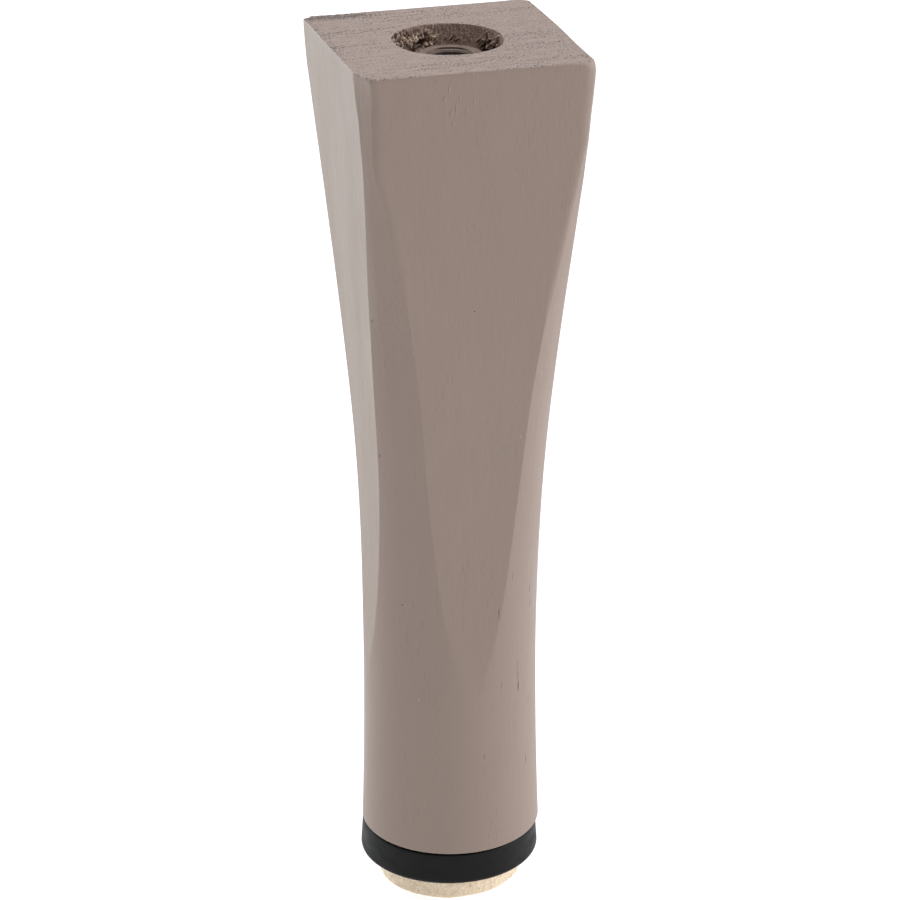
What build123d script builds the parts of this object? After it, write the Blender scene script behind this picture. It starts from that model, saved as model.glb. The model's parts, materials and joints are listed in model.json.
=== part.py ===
from build123d import *
import os
from math import atan2, degrees, radians, tan

# Wooden furniture leg: square at the top, turned to a round foot, with four scooped flats between.
# Millimetres, Z up. The origin is the centre of the top's square, at the floor under the felt.
# The four flats face -Y, +X, +Y and -X.

# Wooden body
leg_length = 163.0            # wood alone, from its foot face to its top face
top_width = 45.0              # across two opposite flats at the top face
top_edge_radius = 0.7         # sanded edge all round the top face
foot_chamfer = 0.5            # round the foot face

# Turned outline, heights measured up from the foot face
foot_diameter = 35.8
waist_diameter = 34.4
waist_height = 37.5
flare_diameter = 49.0         # turned diameter where the long hollow curve ends
flare_height = 121.0          # above here the turned outline runs on as a straight cone
billet_diameter = 60.6        # the square billet's corners are turned off to this all along

# Flats, seen square on: a straight taper down from the top, then a long hollow scoop
taper_foot_width = 34.4       # across the flats where the taper meets the scoop
taper_foot_height = 90.0
scoop_radius = 370.0
scoop_turn = 30.0             # degrees of arc drawn, enough to pass below the foot

# Socket in the top face: counterbore, hole for the insert, and run-out for the bolt's end
counterbore_diameter = 20.8
counterbore_depth = 5.0
bolt_runout_diameter = 8.6
bolt_runout_depth = 10.0      # below the insert
drill_point_angle = 118.0

# Threaded insert for an M8 bolt
thread_bore_diameter = 6.8    # across the crests of the internal thread
collar_diameter = 12.7
collar_thickness = 2.0
collar_chamfer = 0.5
barrel_diameter = 11.0
barrel_length = 13.0
mouth_diameter = 9.0          # wide end of the countersunk mouth
mouth_depth = 1.3
insert_offset = 0.6           # along X: the insert sits a little off the leg's axis
insert_clearance = 0.05       # round and below the barrel in the wood

# Floor glide under the foot
glide_top_diameter = 35.2
glide_diameter = 36.0         # as it flares, before its lower edge is chamfered
glide_height = 6.8
glide_edge_chamfer = 0.8      # lower edge
glide_top_chamfer = 0.4
glide_offset = -0.3           # along X: the glide is fixed a little off the leg's axis

# Felt disc glued into the glide's underside
felt_diameter = 28.6
felt_thickness = 6.2
felt_recess_depth = 1.0
felt_chamfer = 0.5            # lower edge
felt_clearance = 0.15         # round the felt in its recess

# Countersunk screw that holds the glide to the wood
screw_length = 25.0           # with its head
screw_shank_diameter = 3.8
screw_head_diameter = 7.6
screw_head_rim = 0.4          # straight rim of the head, before its cone
screw_cone_angle = 90.0
screw_tip_length = 5.0
screw_tip_diameter = 0.6
screw_slot_width = 1.1
screw_slot_span = 4.4
screw_slot_depth = 1.4
shank_clearance = 0.15        # round the shank in the glide
pilot_clearance = 0.05        # round and above the screw in the wood
head_clearance = 0.05         # between the felt and the screw's head

# Levels above the floor
glide_bottom = felt_thickness - felt_recess_depth
foot_level = glide_bottom + glide_height
top_level = foot_level + leg_length
waist_level = foot_level + waist_height
flare_level = foot_level + flare_height
taper_foot_level = foot_level + taper_foot_height
collar_seat = top_level - counterbore_depth
collar_top = collar_seat + collar_thickness
barrel_end = collar_seat - barrel_length
insert_hole_end = barrel_end - insert_clearance
runout_end = insert_hole_end - bolt_runout_depth
runout_point = runout_end - bolt_runout_diameter / 2 / tan(radians(drill_point_angle / 2))

# The hollow curve leaves the waist upright, so it leans by twice the angle of its chord where it ends
flare_lean = 2 * atan2((flare_diameter - waist_diameter) / 2, flare_height - waist_height)
cone_top_radius = flare_diameter / 2 + (top_level - flare_level) * tan(flare_lean)
block_reach = 2 * top_width

# Screw, from its head up to its tip
screw_half_cone = tan(radians(screw_cone_angle / 2))
screw_rim_level = felt_thickness + head_clearance + screw_head_rim
screw_cone_end = screw_rim_level + (screw_head_diameter - screw_shank_diameter) / 2 / screw_half_cone
screw_end = felt_thickness + head_clearance + screw_length
screw_tip_start = screw_end - screw_tip_length
shank_hole_radius = screw_shank_diameter / 2 + shank_clearance
shank_hole_start = screw_cone_end - shank_clearance / screw_half_cone
countersink_radius = screw_head_diameter / 2 + (screw_rim_level - felt_thickness) * screw_half_cone

# Upright planes and axes through the middle of the insert and of the glide
insert_plane = Plane(origin=(insert_offset, 0, 0), x_dir=(1, 0, 0), z_dir=(0, -1, 0))
insert_axis = Axis((insert_offset, 0, 0), (0, 0, 1))
glide_plane = Plane(origin=(glide_offset, 0, 0), x_dir=(1, 0, 0), z_dir=(0, -1, 0))
glide_axis = Axis((glide_offset, 0, 0), (0, 0, 1))

os.makedirs("parts", exist_ok=True)


def between_flats(plane):
    """Face on an upright plane: all that lies between two opposite flats."""
    with BuildSketch(plane) as outline:
        with BuildLine():
            taper = Line((top_width / 2, top_level), (taper_foot_width / 2, taper_foot_level))
            scoop = JernArc(taper @ 1, taper % 1, radius=scoop_radius, arc_size=scoop_turn)
            scoop_end = scoop @ 1
            Polyline(scoop_end, (0, scoop_end.Y), (0, top_level), taper @ 0)
        make_face()
        mirror(about=Plane.YZ)
    return outline.sketch


# Body: a block scooped from its four sides, and turned wherever it stands outside the round outline
with BuildPart() as leg_body:
    extrude(between_flats(Plane.XZ), amount=block_reach, both=True)
    extrude(between_flats(Plane.YZ), amount=block_reach, both=True, mode=Mode.INTERSECT)

    with BuildSketch(Plane.XZ):
        with BuildLine():
            waist = (waist_diameter / 2, waist_level)
            foot_curve = TangentArc(waist, (foot_diameter / 2, foot_level), tangent=(0, -1))
            flare_curve = TangentArc(waist, (flare_diameter / 2, flare_level), tangent=(0, 1))
            Line(flare_curve @ 1, (cone_top_radius, top_level))
            Polyline((cone_top_radius, top_level), (0, top_level), (0, foot_level), foot_curve @ 1)
        make_face()
    revolve(axis=Axis.Z, mode=Mode.INTERSECT)

    with BuildSketch(Plane.XY.offset(foot_level)):
        Circle(billet_diameter / 2)
    extrude(amount=leg_length, mode=Mode.INTERSECT)
    fillet(leg_body.faces().sort_by(Axis.Z)[-1].edges(), radius=top_edge_radius)
    chamfer(leg_body.faces().sort_by(Axis.Z)[0].edges(), length=foot_chamfer)

    # Counterbore, and the insert's hole below it
    with BuildSketch(Plane.XY.offset(top_level)):
        Circle(counterbore_diameter / 2)
    extrude(amount=-counterbore_depth, mode=Mode.SUBTRACT)
    with BuildSketch(insert_plane):
        with BuildLine():
            Polyline(
                (0, collar_seat),
                (barrel_diameter / 2 + insert_clearance, collar_seat),
                (barrel_diameter / 2 + insert_clearance, insert_hole_end),
                (bolt_runout_diameter / 2, insert_hole_end),
                (bolt_runout_diameter / 2, runout_end),
                (0, runout_point),
                close=True,
            )
        make_face()
    revolve(axis=insert_axis, mode=Mode.SUBTRACT)

    # Pilot hole for the glide's screw, from the foot
    with BuildSketch(glide_plane):
        with BuildLine():
            Polyline(
                (0, foot_level),
                (screw_shank_diameter / 2 + pilot_clearance, foot_level),
                (screw_shank_diameter / 2 + pilot_clearance, screw_tip_start),
                (screw_tip_diameter / 2 + pilot_clearance, screw_end + pilot_clearance),
                (0, screw_end + pilot_clearance),
                close=True,
            )
        make_face()
    revolve(axis=glide_axis, mode=Mode.SUBTRACT)


# Insert: a collar that sits on the counterbore's floor, and a barrel let into the wood below it
with BuildPart() as threaded_insert:
    with BuildSketch(insert_plane):
        with BuildLine():
            Polyline(
                (mouth_diameter / 2, collar_top),
                (collar_diameter / 2, collar_top),
                (collar_diameter / 2, collar_seat),
                (barrel_diameter / 2, collar_seat),
                (barrel_diameter / 2, barrel_end),
                (thread_bore_diameter / 2, barrel_end),
                (thread_bore_diameter / 2, collar_top - mouth_depth),
                close=True,
            )
        make_face()
    revolve(axis=insert_axis)
    top_rings = threaded_insert.edges().filter_by(GeomType.CIRCLE).group_by(Axis.Z)[-1]
    chamfer(top_rings.sort_by(SortBy.RADIUS)[-1], length=collar_chamfer)


# Glide: a moulded disc that flares to its lower edge, with a recess for the felt and a countersink
with BuildPart() as floor_glide:
    with BuildSketch(glide_plane):
        with BuildLine():
            Polyline(
                (countersink_radius, felt_thickness),
                (felt_diameter / 2 + felt_clearance, felt_thickness),
                (felt_diameter / 2 + felt_clearance, glide_bottom),
                (glide_diameter / 2, glide_bottom),
                (glide_top_diameter / 2, foot_level),
                (shank_hole_radius, foot_level),
                (shank_hole_radius, shank_hole_start),
                close=True,
            )
        make_face()
    revolve(axis=glide_axis)
    rings = floor_glide.edges().filter_by(GeomType.CIRCLE)
    chamfer(rings.group_by(Axis.Z)[0].sort_by(SortBy.RADIUS)[-1], length=glide_edge_chamfer)
    chamfer(rings.group_by(Axis.Z)[-1].sort_by(SortBy.RADIUS)[-1], length=glide_top_chamfer)


# Felt: a disc that fills the recess and stands out below the glide
with BuildPart() as felt_disc:
    with BuildSketch(Plane.XY):
        with Locations((glide_offset, 0)):
            Circle(felt_diameter / 2)
    extrude(amount=felt_thickness)
    chamfer(felt_disc.edges().sort_by(Axis.Z)[0], length=felt_chamfer)


# Screw: countersunk head with crossed slots, straight shank and pointed tip
with BuildPart() as glide_screw:
    with BuildSketch(glide_plane):
        with BuildLine():
            Polyline(
                (0, felt_thickness + head_clearance),
                (screw_head_diameter / 2, felt_thickness + head_clearance),
                (screw_head_diameter / 2, screw_rim_level),
                (screw_shank_diameter / 2, screw_cone_end),
                (screw_shank_diameter / 2, screw_tip_start),
                (screw_tip_diameter / 2, screw_end),
                (0, screw_end),
                close=True,
            )
        make_face()
    revolve(axis=glide_axis)
    with BuildSketch(Plane.XY.offset(felt_thickness + head_clearance)):
        with Locations((glide_offset, 0)):
            Rectangle(screw_slot_span, screw_slot_width)
            Rectangle(screw_slot_width, screw_slot_span)
    extrude(amount=screw_slot_depth, mode=Mode.SUBTRACT)


leg_body.part.label = "leg_body"
threaded_insert.part.label = "threaded_insert"
floor_glide.part.label = "floor_glide"
felt_disc.part.label = "felt_disc"
glide_screw.part.label = "glide_screw"

export_step(leg_body.part, "parts/leg_body.step")
export_step(threaded_insert.part, "parts/threaded_insert.step")
export_step(floor_glide.part, "parts/floor_glide.step")
export_step(felt_disc.part, "parts/felt_disc.step")
export_step(glide_screw.part, "parts/glide_screw.step")
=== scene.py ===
"""Dress the wooden furniture leg.

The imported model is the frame. This script adds the looks: painted wood with its end grain and torn
socket, the threaded insert, the moulded glide, the felt, and a plain studio. Sizes are in metres, but
for the rows of tables that say millimetres. Heights called levels are above the floor, and rises above
the foot's face. The flats face -Y, +X, +Y and -X as they do in the frame.
"""

from __future__ import annotations

import json
import logging
import math
from collections.abc import Sequence
from dataclasses import dataclass, field
from enum import Enum

import bpy
import numpy as np
from mathutils import Matrix, Vector

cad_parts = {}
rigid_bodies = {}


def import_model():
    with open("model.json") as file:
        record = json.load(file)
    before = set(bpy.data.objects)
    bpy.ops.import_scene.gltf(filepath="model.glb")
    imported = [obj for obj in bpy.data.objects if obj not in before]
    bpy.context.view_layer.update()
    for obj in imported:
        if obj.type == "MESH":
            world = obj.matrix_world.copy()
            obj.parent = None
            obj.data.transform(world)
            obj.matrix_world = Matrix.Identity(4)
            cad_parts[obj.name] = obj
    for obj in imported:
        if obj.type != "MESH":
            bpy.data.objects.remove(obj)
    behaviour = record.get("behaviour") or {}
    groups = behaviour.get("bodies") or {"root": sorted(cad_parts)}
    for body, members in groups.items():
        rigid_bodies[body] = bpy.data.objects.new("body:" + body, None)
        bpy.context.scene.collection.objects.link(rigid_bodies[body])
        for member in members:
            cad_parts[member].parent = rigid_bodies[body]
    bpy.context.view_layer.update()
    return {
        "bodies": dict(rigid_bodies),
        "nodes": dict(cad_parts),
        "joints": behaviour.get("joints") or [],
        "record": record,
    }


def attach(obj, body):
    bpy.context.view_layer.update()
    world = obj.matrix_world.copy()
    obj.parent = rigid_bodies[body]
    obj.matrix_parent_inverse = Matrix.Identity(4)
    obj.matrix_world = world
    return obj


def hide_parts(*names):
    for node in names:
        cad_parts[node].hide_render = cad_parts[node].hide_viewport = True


LOG = logging.getLogger("furniture_leg")
MM = 0.001
FULL_TURN = 2.0 * math.pi


class Slot(Enum):
    """Material slots of the record."""

    WOOD = "painted_wood"
    STEEL = "painted_steel"
    PLASTIC = "black_plastic"
    FELT = "cream_felt"
    ZINC = "zinc_steel"


class Cut(Enum):
    """Which way a wooden surface is cut, in the order of the leg's material slots."""

    LONG_GRAIN = 0
    END_GRAIN = 1
    BORED = 2


class Tone(Enum):
    """What a small mark in the paint does to its colour."""

    DARK = "dark"
    LIGHT = "light"
    RELIEF = "relief"


def ease(value: np.ndarray | float, start: float, end: float) -> np.ndarray:
    """Rise from 0 to 1 between two values on the cubic 3t^2 - 2t^3.

    Args:
        value: Values to place on the rise.
        start: Value where the rise begins.
        end: Value where it is complete; it may be below the start.

    Returns:
        Heights on the rise, from 0 to 1.
    """
    share = np.clip((np.asarray(value, dtype=float) - start) / (end - start), 0.0, 1.0)
    return share * share * (3.0 - 2.0 * share)


def soft_lesser(first: np.ndarray, second: np.ndarray, blend: np.ndarray | float) -> np.ndarray:
    """Lesser of two surfaces, rounded where they cross.

    The two mix linearly where they differ by less than the blend, and a parabola of the same width,
    a quarter of the blend deep at most, is taken off so the crossing is smooth.

    Args:
        first: Radii of the first surface.
        second: Radii of the second surface.
        blend: Difference in radius below which the edge is rounded.

    Returns:
        Radii of the rounded lesser surface.
    """
    share = np.clip(0.5 + 0.5 * (second - first) / blend, 0.0, 1.0)
    return second + (first - second) * share - blend * share * (1.0 - share)


def relief(around: np.ndarray, along: np.ndarray, cells: tuple[int, int], seed: int) -> np.ndarray:
    """Smooth random relief that wraps in both directions.

    A lattice holds one random height per cell corner. Each point takes the four heights round its
    cell, weighed by the cubic 3t^2 - 2t^3 in both directions.

    Args:
        around: Place in the first direction, where 1 is a full wrap.
        along: Place in the second direction, where 1 is a full wrap.
        cells: Number of cells in each direction.
        seed: Seed of the lattice.

    Returns:
        Heights from -1 to 1.
    """
    heights = np.random.default_rng(seed).uniform(-1.0, 1.0, cells)
    first = (around % 1.0) * cells[0]
    second = (along % 1.0) * cells[1]
    low_first = np.floor(first).astype(int) % cells[0]
    low_second = np.floor(second).astype(int) % cells[1]
    high_first = (low_first + 1) % cells[0]
    high_second = (low_second + 1) % cells[1]
    share_first = ease(first - np.floor(first), 0.0, 1.0)
    share_second = ease(second - np.floor(second), 0.0, 1.0)
    low = heights[low_first, low_second] * (1.0 - share_first)
    low = low + heights[high_first, low_second] * share_first
    high = heights[low_first, high_second] * (1.0 - share_first)
    high = high + heights[high_first, high_second] * share_first
    return low * (1.0 - share_second) + high * share_second


def ring(
    radius: np.ndarray | float, angles: np.ndarray, level: np.ndarray | float, offset: float = 0.0
) -> np.ndarray:
    """Level ring of points: (radius cos angle + offset, radius sin angle, level).

    Args:
        radius: One radius, or one for each angle.
        angles: Angles round the axis.
        level: One height, or one for each angle.
        offset: How far along X the axis stands from the origin.

    Returns:
        Points, one row of three for each angle.
    """
    across = radius * np.cos(angles) + offset
    deep = radius * np.sin(angles)
    return np.stack([across, deep, np.broadcast_to(level, angles.shape)], axis=-1)


def lathe(profile: Sequence[tuple[float, float]], angles: np.ndarray, offset: float = 0.0) -> np.ndarray:
    """Turn a profile of (radius, level) pairs: one ring of points for each pair.

    Args:
        profile: Radius and height of each ring.
        angles: Angles round the axis.
        offset: How far along X the axis stands from the origin.

    Returns:
        Points by ring and by angle.
    """
    return np.stack([ring(radius, angles, level, offset) for radius, level in profile])


def rounded_corner(
    corner: tuple[float, float], size: float, start: float, end: float, steps: int
) -> list[tuple[float, float]]:
    """Quarter of a circle for a profile: centre plus size times (cos, sin) of an even run of angles.

    Args:
        corner: Centre of the rounding, as radius and level.
        size: Radius of the rounding.
        start: Angle where it begins, in degrees, 0 being outwards and 90 up.
        end: Angle where it ends.
        steps: Number of points.

    Returns:
        The points, as radius and level.
    """
    turn = np.radians(np.linspace(start, end, steps))
    across = corner[0] + size * np.cos(turn)
    up = corner[1] + size * np.sin(turn)
    return list(zip(across.tolist(), up.tolist()))


class Shell:
    """One mesh made of closed grids, put into Blender as whole arrays."""

    def __init__(self, *marks: str) -> None:
        """Start an empty shell.

        Args:
            marks: Names of the values that each point carries, such as how torn the wood is.
        """
        self.points: list[np.ndarray] = []
        self.loops: list[np.ndarray] = []
        self.sides: list[np.ndarray] = []
        self.slots: list[np.ndarray] = []
        self.marks: dict[str, list[np.ndarray]] = {name: [] for name in marks}
        self.count = 0

    def add(
        self,
        grid: np.ndarray,
        poles: tuple[np.ndarray, np.ndarray] | None = None,
        slots: np.ndarray | int = 0,
        **marks: np.ndarray | float,
    ) -> None:
        """Add a closed grid: rings of points, each joined to the next.

        Each ring wraps round on itself. With poles the first and last ring are closed by fans of
        triangles, and without them the last ring joins the first. Going up with the angles counted
        anticlockwise from above, the faces point outwards.

        Args:
            grid: Points by ring and by place on the ring.
            poles: Points that close the first and the last ring.
            slots: Material slot of each strip above a ring, or one for all.
            marks: Values of the named marks by ring and place, or one for all.
        """
        rings, columns = grid.shape[:2]
        index = np.arange(rings * columns).reshape(rings, columns) + self.count
        following = np.roll(index, -1, axis=1)
        strips = rings - 1 if poles else rings
        upper = np.roll(index, -1, axis=0)[:strips]
        upper_following = np.roll(following, -1, axis=0)[:strips]
        quads = np.stack([index[:strips], following[:strips], upper_following, upper], axis=-1)
        strip_slots = np.broadcast_to(np.asarray(slots), (strips,))
        self.loops.append(quads.reshape(-1))
        self.sides.append(np.full(strips * columns, 4))
        self.slots.append(np.repeat(strip_slots, columns))
        self.points.append(grid.reshape(-1, 3))
        self.count += rings * columns
        added = rings * columns
        if poles:
            first_pole, last_pole = self.count, self.count + 1
            start_fan = np.stack([np.full(columns, first_pole), following[0], index[0]], axis=-1)
            end_fan = np.stack([index[-1], following[-1], np.full(columns, last_pole)], axis=-1)
            self.loops.extend([start_fan.reshape(-1), end_fan.reshape(-1)])
            self.sides.append(np.full(2 * columns, 3))
            self.slots.append(np.repeat([strip_slots[0], strip_slots[-1]], columns))
            self.points.append(np.stack(poles))
            self.count += 2
            added += 2
        for name, kept in self.marks.items():
            value = np.asarray(marks.get(name, 0.0), dtype=float)
            value = np.broadcast_to(value, (rings, columns)).reshape(-1)
            kept.append(np.concatenate([value, np.zeros(added - value.size)]))

    def piece(self, name: str, sharp_degrees: float = 180.0) -> bpy.types.Object:
        """Make the object.

        Args:
            name: Name of the object and its mesh.
            sharp_degrees: Angle between faces above which their edge stays crisp.

        Returns:
            The object, at the origin.
        """
        loops = np.concatenate(self.loops).astype(np.int32)
        sides = np.concatenate(self.sides)
        starts = np.concatenate([[0], np.cumsum(sides)[:-1]]).astype(np.int32)
        mesh = bpy.data.meshes.new(name)
        mesh.vertices.add(self.count)
        mesh.vertices.foreach_set("co", np.concatenate(self.points).astype(np.float32).reshape(-1))
        mesh.loops.add(loops.size)
        mesh.loops.foreach_set("vertex_index", loops)
        mesh.polygons.add(sides.size)
        mesh.polygons.foreach_set("loop_start", starts)
        mesh.polygons.foreach_set("material_index", np.concatenate(self.slots).astype(np.int32))
        mesh.polygons.foreach_set("use_smooth", np.ones(sides.size, dtype=bool))
        mesh.update(calc_edges=True)
        for mark, values in self.marks.items():
            layer = mesh.attributes.new(mark, "FLOAT", "POINT")
            layer.data.foreach_set("value", np.concatenate(values).astype(np.float32))
        mesh.validate()
        if sharp_degrees < 180.0:
            mesh.set_sharp_from_angle(angle=math.radians(sharp_degrees))
        piece = bpy.data.objects.new(name, mesh)
        bpy.context.scene.collection.objects.link(piece)
        return piece


@dataclass(frozen=True)
class Colour:
    """Colour as it shows on a screen, each part from 0 to 255."""

    red: float
    green: float
    blue: float

    def light(self, factor: float = 1.0) -> tuple[float, float, float, float]:
        """Linear light of the colour.

        Each part c of the screen's range is ((c + 0.055) / 1.055)^2.4, or c / 12.92 near black.

        Args:
            factor: What to multiply the light by.

        Returns:
            Red, green, blue and a full alpha.
        """
        parts = [part / 255.0 for part in (self.red, self.green, self.blue)]
        linear = [part / 12.92 if part <= 0.04045 else ((part + 0.055) / 1.055) ** 2.4 for part in parts]
        return (linear[0] * factor, linear[1] * factor, linear[2] * factor, 1.0)


Socket = bpy.types.NodeSocket
Value = bpy.types.NodeSocket | float


@dataclass(frozen=True)
class Grain:
    """Noise pattern: size of a feature, octaves of finer noise, how far it is stirred, and its place.

    The place on the object is turned about Z by some degrees, and then scaled along each axis, so a
    scale under 1 draws the features out along that axis.
    """

    cell: float
    detail: float = 2.0
    stir: float = 0.0
    scale: tuple[float, float, float] = (1.0, 1.0, 1.0)
    turn: float = 0.0


class Finish:
    """Node tree of one material, built with short calls. Patterns read Object coordinates, in metres."""

    def __init__(self, name: str) -> None:
        """Start a material with one Principled shader.

        Args:
            name: Name of the material.
        """
        self.material = bpy.data.materials.new(name)
        self.material.use_nodes = True
        self.tree = self.material.node_tree
        self.tree.nodes.clear()
        output = self.tree.nodes.new("ShaderNodeOutputMaterial")
        self.shader = self.tree.nodes.new("ShaderNodeBsdfPrincipled")
        self.tree.links.new(self.shader.outputs["BSDF"], output.inputs["Surface"])
        self.place = self.tree.nodes.new("ShaderNodeTexCoord").outputs["Object"]
        self.squeezed: dict[float, Socket] = {}

    def feed(self, target: Socket, value: Value | Sequence[float]) -> None:
        """Link a socket to the target, or set the target's own value."""
        if isinstance(value, bpy.types.NodeSocket):
            self.tree.links.new(value, target)
        else:
            target.default_value = value

    def math(self, operation: str, first: Value, second: Value = 0.0, clamp: bool = False) -> Socket:
        """Arithmetic on two values.

        Args:
            operation: Name of the operation, such as MULTIPLY.
            first: First value.
            second: Second value.
            clamp: Whether the result is kept between 0 and 1.

        Returns:
            The result.
        """
        node = self.tree.nodes.new("ShaderNodeMath")
        node.operation = operation
        node.use_clamp = clamp
        self.feed(node.inputs[0], first)
        self.feed(node.inputs[1], second)
        return node.outputs[0]

    def remap(self, value: Socket, low: float, high: float, start: float = 0.0, end: float = 1.0) -> Socket:
        """Carry the range low to high on to start to end, with an eased and clamped rise."""
        node = self.tree.nodes.new("ShaderNodeMapRange")
        node.interpolation_type = "SMOOTHSTEP"
        for name, number in (("From Min", low), ("From Max", high), ("To Min", start), ("To Max", end)):
            node.inputs[name].default_value = number
        self.feed(node.inputs["Value"], value)
        return node.outputs["Result"]

    def scaled(self, place: Socket, factors: tuple[float, float, float]) -> Socket:
        """Place times one factor for each axis."""
        node = self.tree.nodes.new("ShaderNodeVectorMath")
        node.operation = "MULTIPLY"
        self.feed(node.inputs[0], place)
        node.inputs[1].default_value = factors
        return node.outputs["Vector"]

    def noise(self, grain: Grain) -> Socket:
        """Noise from 0 to 1.

        Args:
            grain: Its pattern.

        Returns:
            The noise.
        """
        place = self.place
        if grain.turn != 0.0:
            turned = self.tree.nodes.new("ShaderNodeMapping")
            turned.inputs["Rotation"].default_value = (0.0, 0.0, math.radians(grain.turn))
            self.feed(turned.inputs["Vector"], place)
            place = turned.outputs["Vector"]
        node = self.tree.nodes.new("ShaderNodeTexNoise")
        node.inputs["Scale"].default_value = 1.0 / grain.cell
        node.inputs["Detail"].default_value = grain.detail
        node.inputs["Distortion"].default_value = grain.stir
        self.feed(node.inputs["Vector"], self.scaled(place, grain.scale))
        return node.outputs[0]

    def specks(self, cell: float, size: float) -> Socket:
        """Round specks, one to a cell: 1 at the middle of each and 0 from its edge on.

        Args:
            cell: Mean distance between specks.
            size: Radius of a speck as a share of the cell.

        Returns:
            The height of the specks.
        """
        node = self.tree.nodes.new("ShaderNodeTexVoronoi")
        node.inputs["Scale"].default_value = 1.0 / cell
        node.inputs["Randomness"].default_value = 1.0
        self.feed(node.inputs["Vector"], self.place)
        return self.remap(node.outputs["Distance"], size, size * 0.4)

    def blend(
        self, share: Value, first: Socket | Sequence[float], second: Socket | Sequence[float]
    ) -> Socket:
        """Colour that goes from the first to the second as the share goes from 0 to 1."""
        node = self.tree.nodes.new("ShaderNodeMix")
        node.data_type = "RGBA"
        self.feed(node.inputs[0], share)
        self.feed(node.inputs[6], first)
        self.feed(node.inputs[7], second)
        return node.outputs[2]

    def height(self, amount: Socket, depth: float, under: Socket | None = None) -> Socket:
        """Bump the surface.

        Args:
            amount: Height as a share of the depth.
            depth: Height where the amount is 1.
            under: Normal of the bumps below this one.

        Returns:
            The bumped normal.
        """
        node = self.tree.nodes.new("ShaderNodeBump")
        node.inputs["Strength"].default_value = 1.0
        node.inputs["Distance"].default_value = depth
        self.feed(node.inputs["Height"], amount)
        if under is not None:
            self.feed(node.inputs["Normal"], under)
        return node.outputs["Normal"]

    def carried(self, name: str) -> Socket:
        """Value that the mesh carries at each point."""
        node = self.tree.nodes.new("ShaderNodeAttribute")
        node.attribute_name = name
        return node.outputs["Fac"]

    def spot(self, centre: Sequence[float], half_width: float, slimness: float) -> Socket:
        """Upright spot: 1 at its middle and 0 from its outline on.

        The object is squeezed along Z by the slimness, so the spot is round there.

        Args:
            centre: Middle of the spot.
            half_width: Half of its width.
            slimness: Its height over its width.

        Returns:
            The height of the spot.
        """
        if slimness not in self.squeezed:
            self.squeezed[slimness] = self.scaled(self.place, (1.0, 1.0, 1.0 / slimness))
        node = self.tree.nodes.new("ShaderNodeVectorMath")
        node.operation = "DISTANCE"
        self.feed(node.inputs[0], self.squeezed[slimness])
        node.inputs[1].default_value = (centre[0], centre[1], centre[2] / slimness)
        return self.remap(node.outputs["Value"], half_width, 0.25 * half_width)

    def done(
        self,
        colour: Socket | Sequence[float],
        roughness: Value,
        normal: Socket | None = None,
        **sockets: float,
    ) -> bpy.types.Material:
        """Feed the shader and give the finished material.

        Args:
            colour: Base colour.
            roughness: Roughness.
            normal: Bumped normal.
            sockets: Values of the shader's other sockets, with _ for each space in a name.

        Returns:
            The material.
        """
        self.feed(self.shader.inputs["Base Color"], colour)
        self.feed(self.shader.inputs["Roughness"], roughness)
        if normal is not None:
            self.feed(self.shader.inputs["Normal"], normal)
        for name, value in sockets.items():
            self.shader.inputs[name.replace("_", " ")].default_value = value
        return self.material


@dataclass(frozen=True)
class SurfaceMark:
    """Small upright crack, nick or speck, in degrees and millimetres.

    Its middle is an angle and a rise, and its strength goes from 0 to 1.
    """

    tone: Tone
    middle: tuple[float, float]
    width: float
    length: float
    strength: float = 1.0

    def slimness(self) -> float:
        """Length over width, rounded to one of a few steps that share their work."""
        steps = (1.0, 2.0, 5.0, 9.0, 14.0)
        return min(steps, key=lambda step: abs(math.log(step * self.width / self.length)))


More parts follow.
